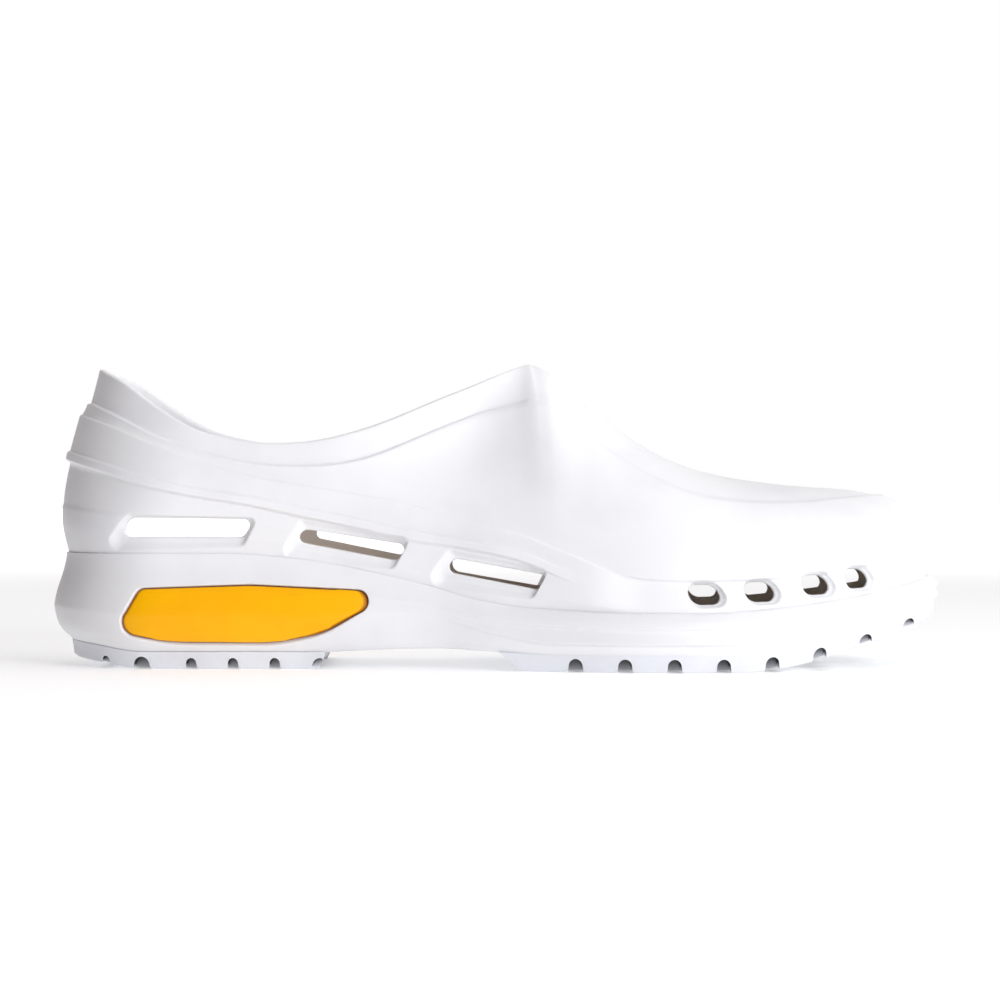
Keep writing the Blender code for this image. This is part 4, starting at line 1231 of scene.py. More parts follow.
@dataclass
class UpperSide:
    """One side of the upper, ready to be read at any column and place.

    A place is a length in mm up a column of the smooth surface. The grid's own
    places are at, one for each of its rows.
    """

    upper: Upper
    side: Side
    surface: Array
    normals: Array
    length: Array
    places: Array
    prouds: Array
    rows: Array
    at: Array

    def base_at(self, column: Array, place: Array) -> tuple[Array, Array]:
        """The smooth surface at columns and places up them.

        The place is turned into a broken sample number in the two columns beside
        it, and both grids are read there in straight lines.

        Args:
            column: broken column numbers.
            place: a place for each of them.

        Returns:
            The points and the outward normals.
        """
        samples = self.length.shape[1]
        numbers = np.arange(samples) * 1.0
        i = np.clip(np.floor(column).astype(int), 0, len(self.surface) - 2)
        share = (column - i)[..., None]
        point, normal = np.zeros((*column.shape, 3)), np.zeros((*column.shape, 3))
        for offset, weight in ((0, 1 - share), (1, share)):
            col = (i + offset).reshape(-1)
            lengths = self.length[col]
            counts = np.broadcast_to(numbers, lengths.shape)
            sample = read_rows(place.reshape(-1), lengths, counts)
            low = np.clip(np.floor(sample).astype(int), 0, samples - 2)
            part = (sample - low)[:, None]
            for grid, total in ((self.surface, point), (self.normals, normal)):
                value = grid[col, low] * (1 - part) + grid[col, low + 1] * part
                total += weight * value.reshape(total.shape)
        return point, unit(normal)

    def proud_at(self, column: Array, place: Array) -> Array:
        """How far the wall stands proud of the smooth surface.

        It goes smoothly from key to key on the steps, and in a straight line between
        them. The lowest part is rounded off like the edge of a moulding.

        Args:
            column: broken column numbers.
            place: a place for each of them.

        Returns:
            Heights in mm.
        """
        shape = column.shape
        column, place = column.reshape(-1), place.reshape(-1)
        i = np.clip(np.floor(column).astype(int), 0, len(self.places) - 2)
        share = (column - i)[:, None]
        keys = self.places[i] * (1 - share) + self.places[i + 1] * share
        proud = self.prouds[i] * (1 - share) + self.prouds[i + 1] * share
        key = np.clip((keys <= place[:, None]).sum(axis=1) - 1, 0, keys.shape[1] - 2)
        row = np.arange(len(keys))
        span = np.maximum(keys[row, key + 1] - keys[row, key], 1e-6)
        t = np.clip((place - keys[row, key]) / span, 0, 1)
        t = np.where(np.isin(key, STEP_KEYS), ease(t, 0, 1), t)
        value = proud[row, key] * (1 - t) + proud[row, key + 1] * t
        soft = self.upper.rim_round
        corner = soft - np.sqrt(soft**2 - np.clip(soft - place, 0, soft) ** 2)
        return (value - corner).reshape(shape)

    def outer_at(self, column: Array, place: Array, sunk: float = 0.0) -> Array:
        """The outer skin, or a surface below it.

        Args:
            column: broken column numbers.
            place: a place for each of them.
            sunk: how far below the skin, in mm.

        Returns:
            The points.
        """
        point, normal = self.base_at(column, place)
        proud = self.proud_at(column, place) + self.heel_step(point)
        return point + normal * (proud - sunk)[..., None]

    def heel_step(self, point: Array) -> Array:
        """A faint ledge round the heel's back.

        It stands proud below a sloping line, and dies out lower down and ahead.

        Args:
            point: points on the smooth surface.

        Returns:
            How far the ledge stands proud at each.
        """
        upper, soft = self.upper, self.upper.ledge_soft
        along, z = upper.last.along_of(point[..., 0]), point[..., 2]
        line = np.interp(along, upper.ledge_along, upper.ledge_height)
        below = ease(line - z, -soft, soft) * ease(z, *upper.ledge_fades_down)
        return upper.heel_ledge * below * (1 - ease(along, *upper.ledge_fades_ahead))

    def inner_at(self, column: Array, place: Array) -> Array:
        """The inner skin, a wall's thickness in, which follows half of each step.

        Args:
            column: broken column numbers.
            place: a place for each of them.

        Returns:
            The points.
        """
        point, normal = self.base_at(column, place)
        depth = self.upper.last.wall - self.proud_at(column, place) / 2
        return point - normal * depth[..., None]

    def shade(self, column: Array, place: Array) -> Array:
        """How much painted shade a point of the inner skin gets, by how far inside the
        shoe it lies.

        Args:
            column: broken column numbers.
            place: a place for each of them.

        Returns:
            No painted shade at the collar's edge, and 1 deep down and under the vamp.
        """
        top = np.interp(column, np.arange(len(self.length)), self.length[:, -1])
        under = ease(top - place, *self.upper.painted_shade_depth)
        front = column - self.upper.collar_columns
        return np.maximum(under, ease(front, 0, 12))

    def find(self, key: Array, height: Array, keys: Array) -> Array:
        """Turns points of a side view into columns and places up them.

        Each column is crossed at the point's height. Along those crossings, keys run
        from heel to toe, and the point's own key gives its column.

        Args:
            key: the points' own keys, such as X.
            height: the points' heights.
            keys: each sample's key, columns by samples.

        Returns:
            Points by column and place, not under the rounded rim.
        """
        column, index, share = crossings(height, self.surface[:, :, 2])
        level, place = (
            grid[column, index - 1] * (1 - share) + grid[column, index] * share
            for grid in (keys, self.length)
        )
        numbers = np.broadcast_to(column * 1.0, level.shape)
        found = read_rows(key, level, numbers), read_rows(key, level, place)
        return np.stack([found[0], np.maximum(found[1], self.upper.rim_round)], axis=1)

    def side_vent(self, number: int, across: int, up: int) -> list[Array]:
        """The scoop's and the slot's rings of one side vent.

        Args:
            number: which vent, from the heel.
            across: steps along the ring's top and bottom.
            up: steps up its back and down its front.

        Returns:
            Two rings of columns and places.
        """
        last, rings = self.upper.last, []
        change = MEDIAL_SLOTS[number] if self.side is Side.MEDIAL else (0, 0, 0)
        slot, scoop = (np.array(corners) for corners in SIDE_VENTS[number])
        slot[[0, 3], 1] -= change[1]
        for corners in (scoop, slot):
            corners[:2, 0] -= change[0]
            corners[2:, 0] += change[2]
            corners = corners * (1, last.rim_height, self.upper.vent_radius)
            corners[:, 0] = last.x_of(corners[:, 0])
            ring = contour(corners, SLOT_GROUPS, across, up)
            rings.append(self.find(ring[:, 0], ring[:, 1], self.surface[:, :, 0]))
        return rings

    def toe_vent(self, number: int, across: int, up: int) -> list[Array]:
        """The recess's and the hole's rings of one toe vent.

        A ring's forward direction is the length walked along the wall, at the
        height of its middle.

        Args:
            number: which vent, from the heel.
            across: steps along the ring's top and bottom.
            up: steps up its back and down its front.

        Returns:
            Two rings of columns and places.
        """
        last, upper = self.upper.last, self.upper
        along, share = TOE_VENTS[self.side][number]
        height = np.full(len(self.surface), share * last.rim_height)
        x, y, z = np.moveaxis(self.surface, 2, 0)
        level = np.stack([read_rows(height, z, values) for values in (x, y)], axis=1)
        ahead = walked(level)
        ahead = ahead - np.interp(float(last.x_of(along)), level[:, 0], ahead)
        keys = np.broadcast_to(ahead[:, None], z.shape)
        size = (upper.toe_vent_length, upper.toe_vent_height, upper.toe_vent_height)
        rings = []
        for marks in (TOE_RECESS, TOE_OPENING):
            ring = contour(np.array(marks) * size, SLOT_GROUPS, across, up)
            rings.append(self.find(ring[:, 0], ring[:, 1] + height[0], keys))
        return rings

    def vents(self) -> list[tuple[tuple[int, int, int, int], float, list[Array]]]:
        """Plans all the vents of the side.

        Each vent takes a block of the grid from the rim up to a key, a column wider
        than its outer ring. Where two blocks would meet, they share a border halfway.

        Returns:
            Each vent's block, the depth of its slot, and its two rings.
        """
        upper = self.upper
        plans = [
            (self.side_vent, k, top, upper.vent_depth)
            for k, top in enumerate(upper.side_vent_tops)
        ]
        plans += [
            (self.toe_vent, k, upper.toe_vent_top, upper.toe_vent_depth)
            for k in range(len(TOE_VENTS[self.side]))
        ]
        spans = [rings_of(k, 12, 12)[0][:, 0] for rings_of, k, _, _ in plans]
        starts = [int(np.floor(span.min() - 1)) for span in spans]
        ends = [int(np.ceil(span.max() + 1)) for span in spans]
        for k in range(1, len(spans)):
            if ends[k - 1] > starts[k]:
                split = round((spans[k - 1].max() + spans[k].min()) / 2)
                ends[k - 1] = starts[k] = int(split)
        found = []
        for (rings_of, number, top_key, depth), start, end in zip(plans, starts, ends):
            top = int(np.searchsorted(self.rows, top_key))
            rings = rings_of(number, end - start, top)
            found.append(((start, end, 0, top), depth, rings))
        return found

    def add_vent(
        self,
        skin: Skin,
        block: tuple[int, int, int, int],
        depth: float,
        rings: list[Array],
        outer: Array,
        inner: Array,
    ) -> None:
        """Adds one vent, from the outer grid through the wall to the inner grid.

        The skin closes in on the scoop's soft lip. From there a shallow dish runs
        down to the slot's edge, which turns into the wall and out onto the inside.

        Args:
            skin: where the rings go.
            block: first and last column, first and last row of the grid it replaces.
            depth: how far the slot's edge lies below the outer skin.
            rings: the scoop's and the slot's rings.
            outer: the outer grid's points round the block.
            inner: the inner grid's points round the block.
        """
        i, j = block_ring(*block)
        scoop, slot = rings
        edge = np.stack([i, self.at[i, j]], axis=1).astype(float)
        soft = self.upper.soft
        lip = self.outer_at(*scoop.T)
        ways = stopping_short(outer, lip, soft, np.linspace(0, 1, 12)[1:])
        mixed = edge * (1 - ways) + scoop * ways
        face = self.outer_at(mixed[..., 0], mixed[..., 1])
        floor = self.outer_at(*slot.T, depth)
        normal = self.base_at(*slot.T)[1]
        run = floor - lip
        width = np.linalg.norm(run, axis=1)[:, None]
        part = run * np.minimum(soft / width, 0.3)
        through = self.inner_at(*slot.T)
        wall = through - floor
        depth_left = np.linalg.norm(wall, axis=1)[:, None]
        turn = wall * np.minimum(soft / depth_left, 0.4)
        hollow = np.sin(np.pi * np.array([0.36, 0.64]))[:, None, None] * width * normal
        scooped = between(lip + part, floor - part, [0.33, 0.67])
        outside = [
            outer[None],
            face[:-1],
            rounded(face[-1], lip, lip + part, 5),
            scooped - self.upper.dish * hollow,
            rounded(floor - part, floor, floor + turn, 5),
        ]
        skin.grid(np.concatenate(outside), ring=True)
        mixed = between(slot, edge, [0.10, 0.25, 0.5, 0.75])
        within = self.inner_at(mixed[..., 0], mixed[..., 1])
        turned = rounded(through - turn * 0.6, through, within[0], 4)
        tail = [(floor + turn)[None], turned, within[1:], inner[None]]
        tail = np.concatenate(tail)
        # Painted shade grows from the slot's wall into the inner skin.
        shade = np.clip(np.arange(len(tail)) / 3, 0.1, 1)[:, None]
        skin.grid(tail, shade * self.shade(*slot.T)[None], ring=True)

    def add_to(self, skin: Skin) -> None:
        """Adds this side's outer and inner skins, vents, rim and collar's lip.

        Args:
            skin: where they go.
        """
        columns, rows = self.at.shape
        number = np.broadcast_to(np.arange(columns)[:, None] * 1.0, self.at.shape)
        outer, inner = self.outer_at(number, self.at), self.inner_at(number, self.at)
        inner[:, 0, 2] = self.upper.last.rim_z(inner[:, 0, 0])
        for skin_points in (outer, inner):
            skin_points[:, 0, 2] -= self.upper.rim_drop
        kept = np.unique(
            np.concatenate([np.searchsorted(self.rows, INNER_KEYS), [0, rows - 1]])
        )
        hidden = np.zeros((columns - 1, rows - 1), bool)
        hidden_inner = np.zeros((columns - 1, len(kept) - 1), bool)
        for block, depth, rings in self.vents():
            start, end, low, high = block
            i, j = block_ring(*block)
            nearest = kept[abs(kept[None] - j[:, None]).argmin(axis=1)]
            self.add_vent(skin, block, depth, rings, outer[i, j], inner[i, nearest])
            hidden[start:end, low:high] = True
            hidden_inner[start:end, : int(np.searchsorted(kept, high))] = True
        skin.grid(outer, hidden=hidden)
        # Painted shade on the inner skin, deeper below the collar's edge and under the
        # vamp.
        shade = self.shade(number[:, kept], self.at[:, kept])
        skin.grid(inner[:, kept], shade, hidden=hidden_inner)
        skin.grid(np.stack([outer[:, 0], inner[:, 0]], axis=1))
        collar = slice(0, self.upper.collar_columns)
        self.add_lip(skin, outer[collar, -1], inner[collar, -1])

    def add_lip(self, skin: Skin, outer: Array, inner: Array) -> None:
        """Adds the collar's rounded edge: a half ellipse from outer to inner skin.

        Args:
            skin: where it goes.
            outer: the outer skin's edge along the collar.
            inner: the inner skin's edge.
        """
        tangent = unit(np.gradient(outer, axis=0))
        out = unit(np.cross(tangent, outer - inner)) * self.side.value
        out = out * np.sign(out[len(out) // 2, 2])
        out[0], out[-1] = unit(out[0] * (1, 0, 1)), unit(out[-1] * (1, 0, 1))
        angle = np.linspace(0, np.pi, 9)[None, :, None]
        middle, half = (outer + inner)[:, None] / 2, (outer - inner)[:, None] / 2
        arc = middle + np.cos(angle) * half
        arc = arc + np.sin(angle) * out[:, None] * self.upper.lip
        skin.grid(arc)


@dataclass
class SoleUnit:
    """The sole unit: its stepped side, its cup, and the inserts let into its heel."""

    last: Last
    shift: Array
    columns: int = 260
    undercut: float = 6.3
    ledge: float = 0.6
    cup_taper: float = 0.4
    arch_hollow: float = 3.0
    footbed_thickness: float = 4.0
    footbed_cup: float = 2.0
    heel_at: float = 0.28
    waist_at: float = 0.42
    ball_at: float = 0.56
    heel_soft: float = 12.0
    ball_soft: float = 0.55
    insert_depth: float = 3.0
    insert_sink: float = 0.7
    insert_radius: float = 4.0
    insert_dome: float = 0.35
    insert_edge: float = 0.6
    mouth_soft: float = 0.55
    mouth_drop: float = 0.5
    rim_soft: float = 0.3
    most_soft: float = 0.48
    underside_strips: int = 24
    floor_strips: int = 12

    def edge(self, side: Side, row: tuple[float, ...]) -> Array:
        """One edge of the side from heel to toe, blended between its three stations.

        Args:
            side: which side of the shoe.
            row: a row of the table of side edges.

        Returns:
            The edge's points.
        """

        def blend(values: tuple[float, ...], along: Array) -> Array:
            """Goes from the heel's value to the waist's and on to the ball's.

            Args:
                values: the value at the heel, the waist and the ball.
                along: places along the shoe.

            Returns:
                The value at each place.
            """
            waist = ease(along, self.heel_at, self.waist_at)
            ball = ease(along, self.waist_at, self.ball_at)
            value = values[0] + (values[1] - values[0]) * waist
            return value + (values[2] - values[1]) * ball

        outline, _ = self.last.outline(
            side, lambda along: self.undercut * blend(row[3:], along)
        )
        (plan,) = spread(outline, self.columns)
        low = self.last.underside_z(plan[:, 0])
        high = self.last.rim_z(plan[:, 0]) - self.last.gap
        up = blend(row[:3], self.last.along_of(plan[:, 0]))
        return np.column_stack([plan, low + up * (high - low)])

    def level(self, side: Side, inset: float, height: HeightOf) -> Array:
        """The plan outline at an inset, at a height that depends on x and y."""
        (plan,) = spread(self.last.outline(side, inset)[0], self.columns)
        return np.column_stack([plan, height(plan[:, 0], plan[:, 1])])

    def rim_top(self, x: Array, y: Array) -> Array:
        """Top of the rim, a gap below the upper."""
        return self.last.rim_z(x) - self.last.gap

    def footbed_top(self, x: Array, y: Array) -> Array:
        """Top of the footbed, which is cupped up towards its edges.

        The cup is a square of the share of the half width. It fades out at the waist.

        Args:
            x: places along the shoe in mm.
            y: places across it.

        Returns:
            Heights in mm.
        """
        along = self.last.along_of(x)
        share = abs(y - self.last.axis_y(along)) / (self.last.ball_width * 0.38)
        cup = self.footbed_cup * (np.clip(share, 0, 1) ** 2 - 0.5)
        return self.last.footbed_z(x) + cup * (1 - ease(along, 0.4, 0.6))

    def cup_floor(self, x: Array, y: Array) -> Array:
        """Floor of the cup, on which the footbed lies."""
        return self.footbed_top(x, y) - self.footbed_thickness - self.last.gap

    def underside(self, x: Array, y: Array) -> Array:
        """Underside with the hollow of its arch, round both ways.

        Args:
            x: places along the shoe in mm.
            y: places across it.

        Returns:
            Heights in mm.
        """
        along = self.last.along_of(x)
        hollow = ease(along, 0.30, 0.42) * (1 - ease(along, 0.42, 0.54))
        share = abs(y - self.last.axis_y(along)) / (self.last.ball_width * 0.3)
        hollow = self.arch_hollow * hollow * (1 - np.clip(share, 0, 1) ** 2)
        return self.last.underside_z(x) + hollow

    def cap(self, edges: list[Array], height: HeightOf, strips: int) -> Array:
        """Fills between two side edges.

        Args:
            edges: the lateral and the medial edge.
            height: the height as a function of x and y.
            strips: how many strips lie between the edges.

        Returns:
            A grid of points, with the edges as they are.
        """
        grid = between(*edges, np.linspace(0, 1, strips + 1)).transpose(1, 0, 2)
        grid[:, 1:-1, 2] = height(grid[:, 1:-1, 0], grid[:, 1:-1, 1])
        grid[0], grid[-1] = edges[0][0], edges[0][-1]
        return grid

    def wall(self, side: Side) -> tuple[Array, Array]:
        """The side's surface with soft corners.

        Every inner corner of the stepped profile is replaced by an arc. The arcs
        are long at the heel, which makes it one round sweep, and short at the ball,
        where they soften the two tiers.

        Args:
            side: which side of the shoe.

        Returns:
            The surface's points and its outward normals.
        """
        inset = self.last.rim_inset - self.ledge
        corners = [self.edge(side, row) for row in SIDE_EDGES]
        corners.append(self.level(side, inset, self.rim_top))
        corners = np.stack(corners, axis=1)
        along = self.last.along_of(corners[:, :1, 0])
        shorter = (self.ball_soft - self.heel_soft) * ease(
            along, self.heel_at, self.ball_at
        )
        ways = np.diff(corners, axis=1)
        length = np.maximum(np.linalg.norm(ways, axis=2), 1e-9)
        share = np.minimum((self.heel_soft + shorter) / length, self.most_soft)
        step = ways * share[..., None]
        middle = corners[:, 1:-1, None]
        before, after = middle - step[:, :-1, None], middle + step[:, 1:, None]
        t = np.linspace(0, 1, 5)[None, None, :, None]
        arcs = bend(before, middle, after, t).reshape(len(corners), -1, 3)
        surface = np.concatenate([corners[:, :1], arcs, corners[:, -1:]], axis=1)
        normals = side.value * np.cross(
            np.gradient(surface, axis=1), np.gradient(surface, axis=0)
        )
        return surface, unit(normals)

    def insert_ring(
        self, surface: Array, shrink: float, across: int, up: int
    ) -> Array:
        """The insert's outline on one side of the sole.

        Args:
            surface: the side's surface.
            shrink: how far the outline is drawn in, in mm.
            across: steps along its top and bottom.
            up: steps up its back and down its front.

        Returns:
            One ring of broken column and row numbers of the surface.
        """
        corners = np.array(INSERT_CORNERS)
        corners = corners * (1, self.last.rim_height, self.insert_radius)
        corners[:, 0] = self.last.x_of(corners[:, 0])
        ring = contour(drawn_in(corners, shrink), INSERT_GROUPS, across, up)
        x = surface[:, :, 0]
        column, index, share = crossings(ring[:, 1], surface[:, :, 2])
        level = x[column, index - 1] * (1 - share) + x[column, index] * share
        numbers = np.broadcast_to(column * 1.0, level.shape)
        found = [read_rows(ring[:, 0], level, k) for k in (numbers, index - 1 + share)]
        return np.stack(found, axis=1)

    def build(self) -> tuple[bpy.types.Object, list[bpy.types.Object]]:
        """Builds the sole unit and the two inserts.

        Returns:
            The sole's piece, and the lateral and the medial insert's.
        """
        inner = self.last.rim_inset + self.last.wall
        skin, inserts, feet, floors = Skin(), [], [], []
        for side in Side:
            surface, normals = self.wall(side)
            top = self.level(side, inner, self.rim_top)
            floor = self.level(side, inner + self.cup_taper, self.cup_floor)
            feet.append(surface[:, 0])
            floors.append(floor)
            rim = surface[:, -1] + unit(top - surface[:, -1]) * self.rim_soft
            wall = np.stack([surface[:, -1], rim, top, floor], axis=1)
            # Painted shade on the rim's inner top and on the cup floor's edge.
            skin.grid(wall, np.array([[0, 0, 1, 1]]))
            inserts.append(self.let_in(skin, side, surface, normals))
        skin.grid(self.cap(feet, self.underside, self.underside_strips))
        # The whole cup floor gets the painted shade tone.
        skin.grid(self.cap(floors, self.cup_floor, self.floor_strips), 1.0)
        return skin.build("sole_skin", self.shift), inserts

    def let_in(
        self, skin: Skin, side: Side, surface: Array, normals: Array
    ) -> bpy.types.Object:
        """Adds one side of the sole with its pocket, and builds the insert in it.

        Args:
            skin: where the side and its pocket go.
            side: which side of the shoe.
            surface: the side's surface.
            normals: its outward normals.

        Returns:
            The insert's piece.
        """
        first = self.insert_ring(surface, 0.0, 12, 12)
        low, high = np.floor(first.min(axis=0) - 1.5), np.ceil(first.max(axis=0) + 1.5)
        start, end = int(low[0]), int(high[0])
        bottom, top = max(int(low[1]), 1), int(high[1])
        i, j = block_ring(start, end, bottom, top)
        hidden = np.zeros((len(surface) - 1, surface.shape[1] - 1), bool)
        hidden[start:end, bottom:top] = True
        skin.grid(surface, hidden=hidden)
        edge = np.stack([i, j], axis=1).astype(float)
        ring = self.insert_ring(surface, 0.0, end - start, top - bottom)

        def at(place: Array, out: float | Array) -> Array:
            """A point over the side.

            Args:
                place: broken column and row numbers.
                out: how far out along the normal, in mm.

            Returns:
                The points.
            """
            column, row = place[..., 0], place[..., 1]
            point = grid_at(surface, column, row)
            return point + unit(grid_at(normals, column, row)) * out

        mouth = at(ring, 0.0)
        outer = surface[i, j]
        ways = stopping_short(outer, mouth, self.mouth_soft, [0.2, 0.4, 0.6, 0.8, 1.0])
        face = at(edge * (1 - ways) + ring * ways, 0.0)
        deep = self.insert_sink + self.insert_depth + self.last.gap
        shares = [0.15, 0.3, 0.5, 0.7, 0.85, 1.0]
        base = at(between(ring, ring.mean(axis=0), shares), -deep)
        rings = [
            outer[None],
            face[:-1],
            rounded(face[-1], mouth, at(ring, -self.mouth_drop), 5),
            at(ring, -deep)[None],
            base,
        ]
        rings = np.concatenate(rings)
        # Painted shade on the pocket's floor.
        shade = np.zeros((len(rings), 1))
        shade[-len(base) :] = 1.0
        skin.grid(rings, shade, ring=True)
        gap = self.last.gap
        inner = self.insert_ring(surface, gap, end - start, top - bottom)
        return self.insert(side, inner, at)

    def insert(
        self, side: Side, ring: Array, at: Callable[[Array, float | Array], Array]
    ) -> bpy.types.Object:
        """Builds one insert: a slightly domed plate with a soft edge, in its pocket.

        The dome rises with the sixth power of the way in from the edge.

        Args:
            side: which side of the shoe.
            ring: the plate's outline as columns and rows of the side's surface.
            at: gives the points at columns and rows, so far out from the side.

        Returns:
            The piece.
        """
        middle = ring.mean(axis=0)
        shares = np.array([1.0, 0.8, 0.6, 0.42, 0.27, 0.15, 0.07])
        top, foot = -self.insert_sink, -self.insert_sink - self.insert_depth
        dome = self.insert_dome * (1 - (1 - shares[:, None, None]) ** 6)
        face = at(between(ring, middle, shares), dome + top)
        rings = [
            face[:-1],
            rounded(face[-1], at(ring, top), at(ring, top - self.insert_edge), 5),
            at(between(middle, ring, shares), foot),
            at(np.broadcast_to(middle, ring.shape), foot)[None],
        ]
        rings = np.concatenate(rings)
        # Painted shade on the lower part of the plate's rounded edge and on its back.
        shade = np.zeros((len(rings), 1))
        shade[len(face) + 1 :] = 1.0
        skin = Skin()
        skin.grid(rings, shade, ring=True)
        return skin.build(f"insert_plate_{side.name.lower()}", self.shift)


@dataclass
class Footbed:
    """The loose cupped footbed."""

    sole: SoleUnit
    chamfer: float = 0.9
    base_strips: int = 8
    top_strips: int = 48

    def build(self) -> bpy.types.Object:
        """Builds the footbed from its base, side, soft shoulder and top.

        Returns:
            The piece.
        """
        sole, last = self.sole, self.sole.last
        inset = last.rim_inset + last.wall + sole.cup_taper + last.gap

        def base(x: Array, y: Array) -> Array:
            """Underside, a gap above the cup's floor."""
            return sole.cup_floor(x, y) + last.gap

        skin, feet, tops = Skin(), [], []
        for side in Side:
            low = sole.level(side, inset + sole.cup_taper, base)
            corner = sole.level(side, inset, sole.footbed_top)
            shoulder = corner - (0, 0, self.chamfer)
            top = sole.level(side, inset + self.chamfer, sole.footbed_top)
            arc = rounded(shoulder, corner, top, 6).transpose(1, 0, 2)
            feet.append(low)
            tops.append(top)
            skin.grid(np.concatenate([low[:, None], arc], axis=1))
        skin.grid(sole.cap(feet, base, self.base_strips))
        skin.grid(sole.cap(tops, sole.footbed_top, self.top_strips))
        return skin.build("footbed_foam", sole.shift)


@dataclass
class TreadPad:
    """One tread pad, with round cross grooves, long channels and bevelled lugs.

    Spans are shares of the shoe's length, and insets lie inside its outline, each at
    the pad's lower and at its upper face. A groove is its x, width and height.
    """

    last: Last
    shift: Array
    name: str
    low_span: tuple[float, float]
    high_span: tuple[float, float]
    low_inset: float
    high_inset: float
    grooves: tuple[Triple, ...]
    channel_span: tuple[float, float]
    slant_length: float = 11.0
    groove_depth: float = 4.2
    channel_width: float = 3.0
    channel_depth: float = 3.0
    channel_spacing: float = 24.0
    channel_room: float = 0.3
    middle_share: float = 0.66
    bevel: float = 0.5
    lift: float = 0.42
    least_half: float = 0.4
    least_left: float = 0.5
    draft: float = 0.12
    # Depths over which the painted shade in the grooves builds up.
    groove_shade_depth: tuple[float, float] = (0.5, 0.4)

    def profile(self) -> Array:
        """The pad's length with each groove's round top.

        A groove's top is a half circle, a little narrower than the groove by the
        draft. Below it the walls go straight down to a bevel.

        Returns:
            Rows of x and depth in mm.
        """
        last, bevel = self.last, self.bevel
        start, end = (float(last.x_of(place)) for place in self.low_span)
        angle = np.linspace(np.pi, 0, 13)
        rows = [np.array([[start, bevel], [start + 0.15, 0.15], [start + bevel, 0.0]])]
        behind = start + bevel
        for x, width, high in self.grooves:
            radius = width / 2
            thin = last.pad_thickness - float(last.pad_depth(x))
            spring = max(min(high, self.groove_depth) - thin - radius, bevel + 0.1)
            round_x = x + (radius - self.draft) * np.cos(angle)
            arc = np.stack([round_x, spring + radius * np.sin(angle)], axis=1)
            left = np.array([[x - radius - 0.13, 0.14], [x - radius, bevel]])
            flat = np.linspace(behind, x - radius - bevel, 6)[1:]
            rows += [np.stack([flat, 0 * flat], axis=1), left, arc]
            behind = x + radius + bevel
            if behind > end:
                rows = np.concatenate(rows)
                return rows[rows[:, 0] <= end]
            right = [[2 * x - a, b] for a, b in left[::-1]]
            rows.append(np.array([*right, [behind, 0.0]]))
        flat = np.linspace(behind, end - bevel, 6)[1:]
        rows.append(np.stack([flat, 0 * flat], axis=1))
        rows.append(np.array([[end - 0.15, 0.15], [end, bevel]]))
        return np.concatenate(rows)

    def channels(self) -> tuple[Array, Array]:
        """Steps across the pad's three long channels, which have soft corners.

        Returns:
            Offsets from the shoe's axis in mm, and the depth at each.
        """
        half, deep = self.channel_width / 2, self.channel_depth
        bevel = self.bevel * 0.7
        widths = np.array([half + bevel, half + 0.1, half, half, half - 0.3])
        depths = np.array([0.0, 0.12, bevel, deep - 0.3, deep])
        offsets = np.concatenate([-widths, widths[::-1]])
        middles = self.channel_spacing * np.array([-1.0, 0.0, 1.0])
        depths = np.concatenate([depths, depths[::-1]])
        return (middles[:, None] + offsets).reshape(-1), np.tile(depths, 3)

    def plan(self, x: Array, axis: Array, inset: float) -> tuple[Array, Array]:
        """Steps across the pad: those in from its edges, and its channels' between.

        Args:
            x: places along the pad in mm.
            axis: Y of the shoe's axis for each.
            inset: how far the pad's edges lie inside the shoe's outline.

        Returns:
            Y of each step, and which channel steps have room, both places by steps.
        """
        offsets, _ = self.channels()
        lateral, medial = (
            np.interp(x, *self.last.outline(side, inset)[0].T) - axis for side in Side
        )
        lateral = np.minimum(lateral, -self.least_half)[:, None]
        medial = np.maximum(medial, self.least_half)[:, None]
        low, high = lateral * self.middle_share, medial * self.middle_share
        shares = 1 - np.array(PAD_EDGE)[:, 0]
        steps = [lateral * shares, np.clip(offsets, low, high), medial * shares[::-1]]
        room = self.channel_room
        fits = (offsets - room > low) & (offsets + room < high)
        return np.concatenate(steps, axis=1) + axis[:, None], fits

    def depths(self, x: Array, groove: Array, fits: Array) -> Array:
        """Depth of the grooved face: the deepest of bevel, groove and channel.

        Each groove is barred a little way in from both sides. A channel is open
        where all its steps have room.

        Args:
            x: places along the pad in mm.
            groove: the cross grooves' depth at each.
            fits: which channel steps have room, places by steps.

        Returns:
            Depths in mm, places by steps.
        """
        _, bevels, opened = np.array(PAD_EDGE).T
        _, channel = self.channels()
        border = np.concatenate([bevels, 0 * channel, bevels[::-1]])
        opened = np.concatenate([opened, 0 * channel + 1, opened[::-1]])
        end = self.bevel + 0.01
        at_end = (x <= x[0] + end) | (x >= x[-1] - end)
        opened = np.where(at_end[:, None], 1, opened)
        depth = np.maximum(groove[:, None] * opened, border)
        groups = fits.reshape(len(x), 3, -1)
        whole = np.repeat(groups.all(axis=2), groups.shape[2], axis=1)
        along = self.last.along_of(x)
        active = (along > self.channel_span[0]) & (along < self.channel_span[1])
        channel = channel * whole * active[:, None]
        channel = np.pad(channel, ((0, 0), (len(bevels), len(bevels))))
        most = self.last.pad_depth(x)[:, None] - self.least_left
        return np.minimum(np.maximum(depth, channel), most)

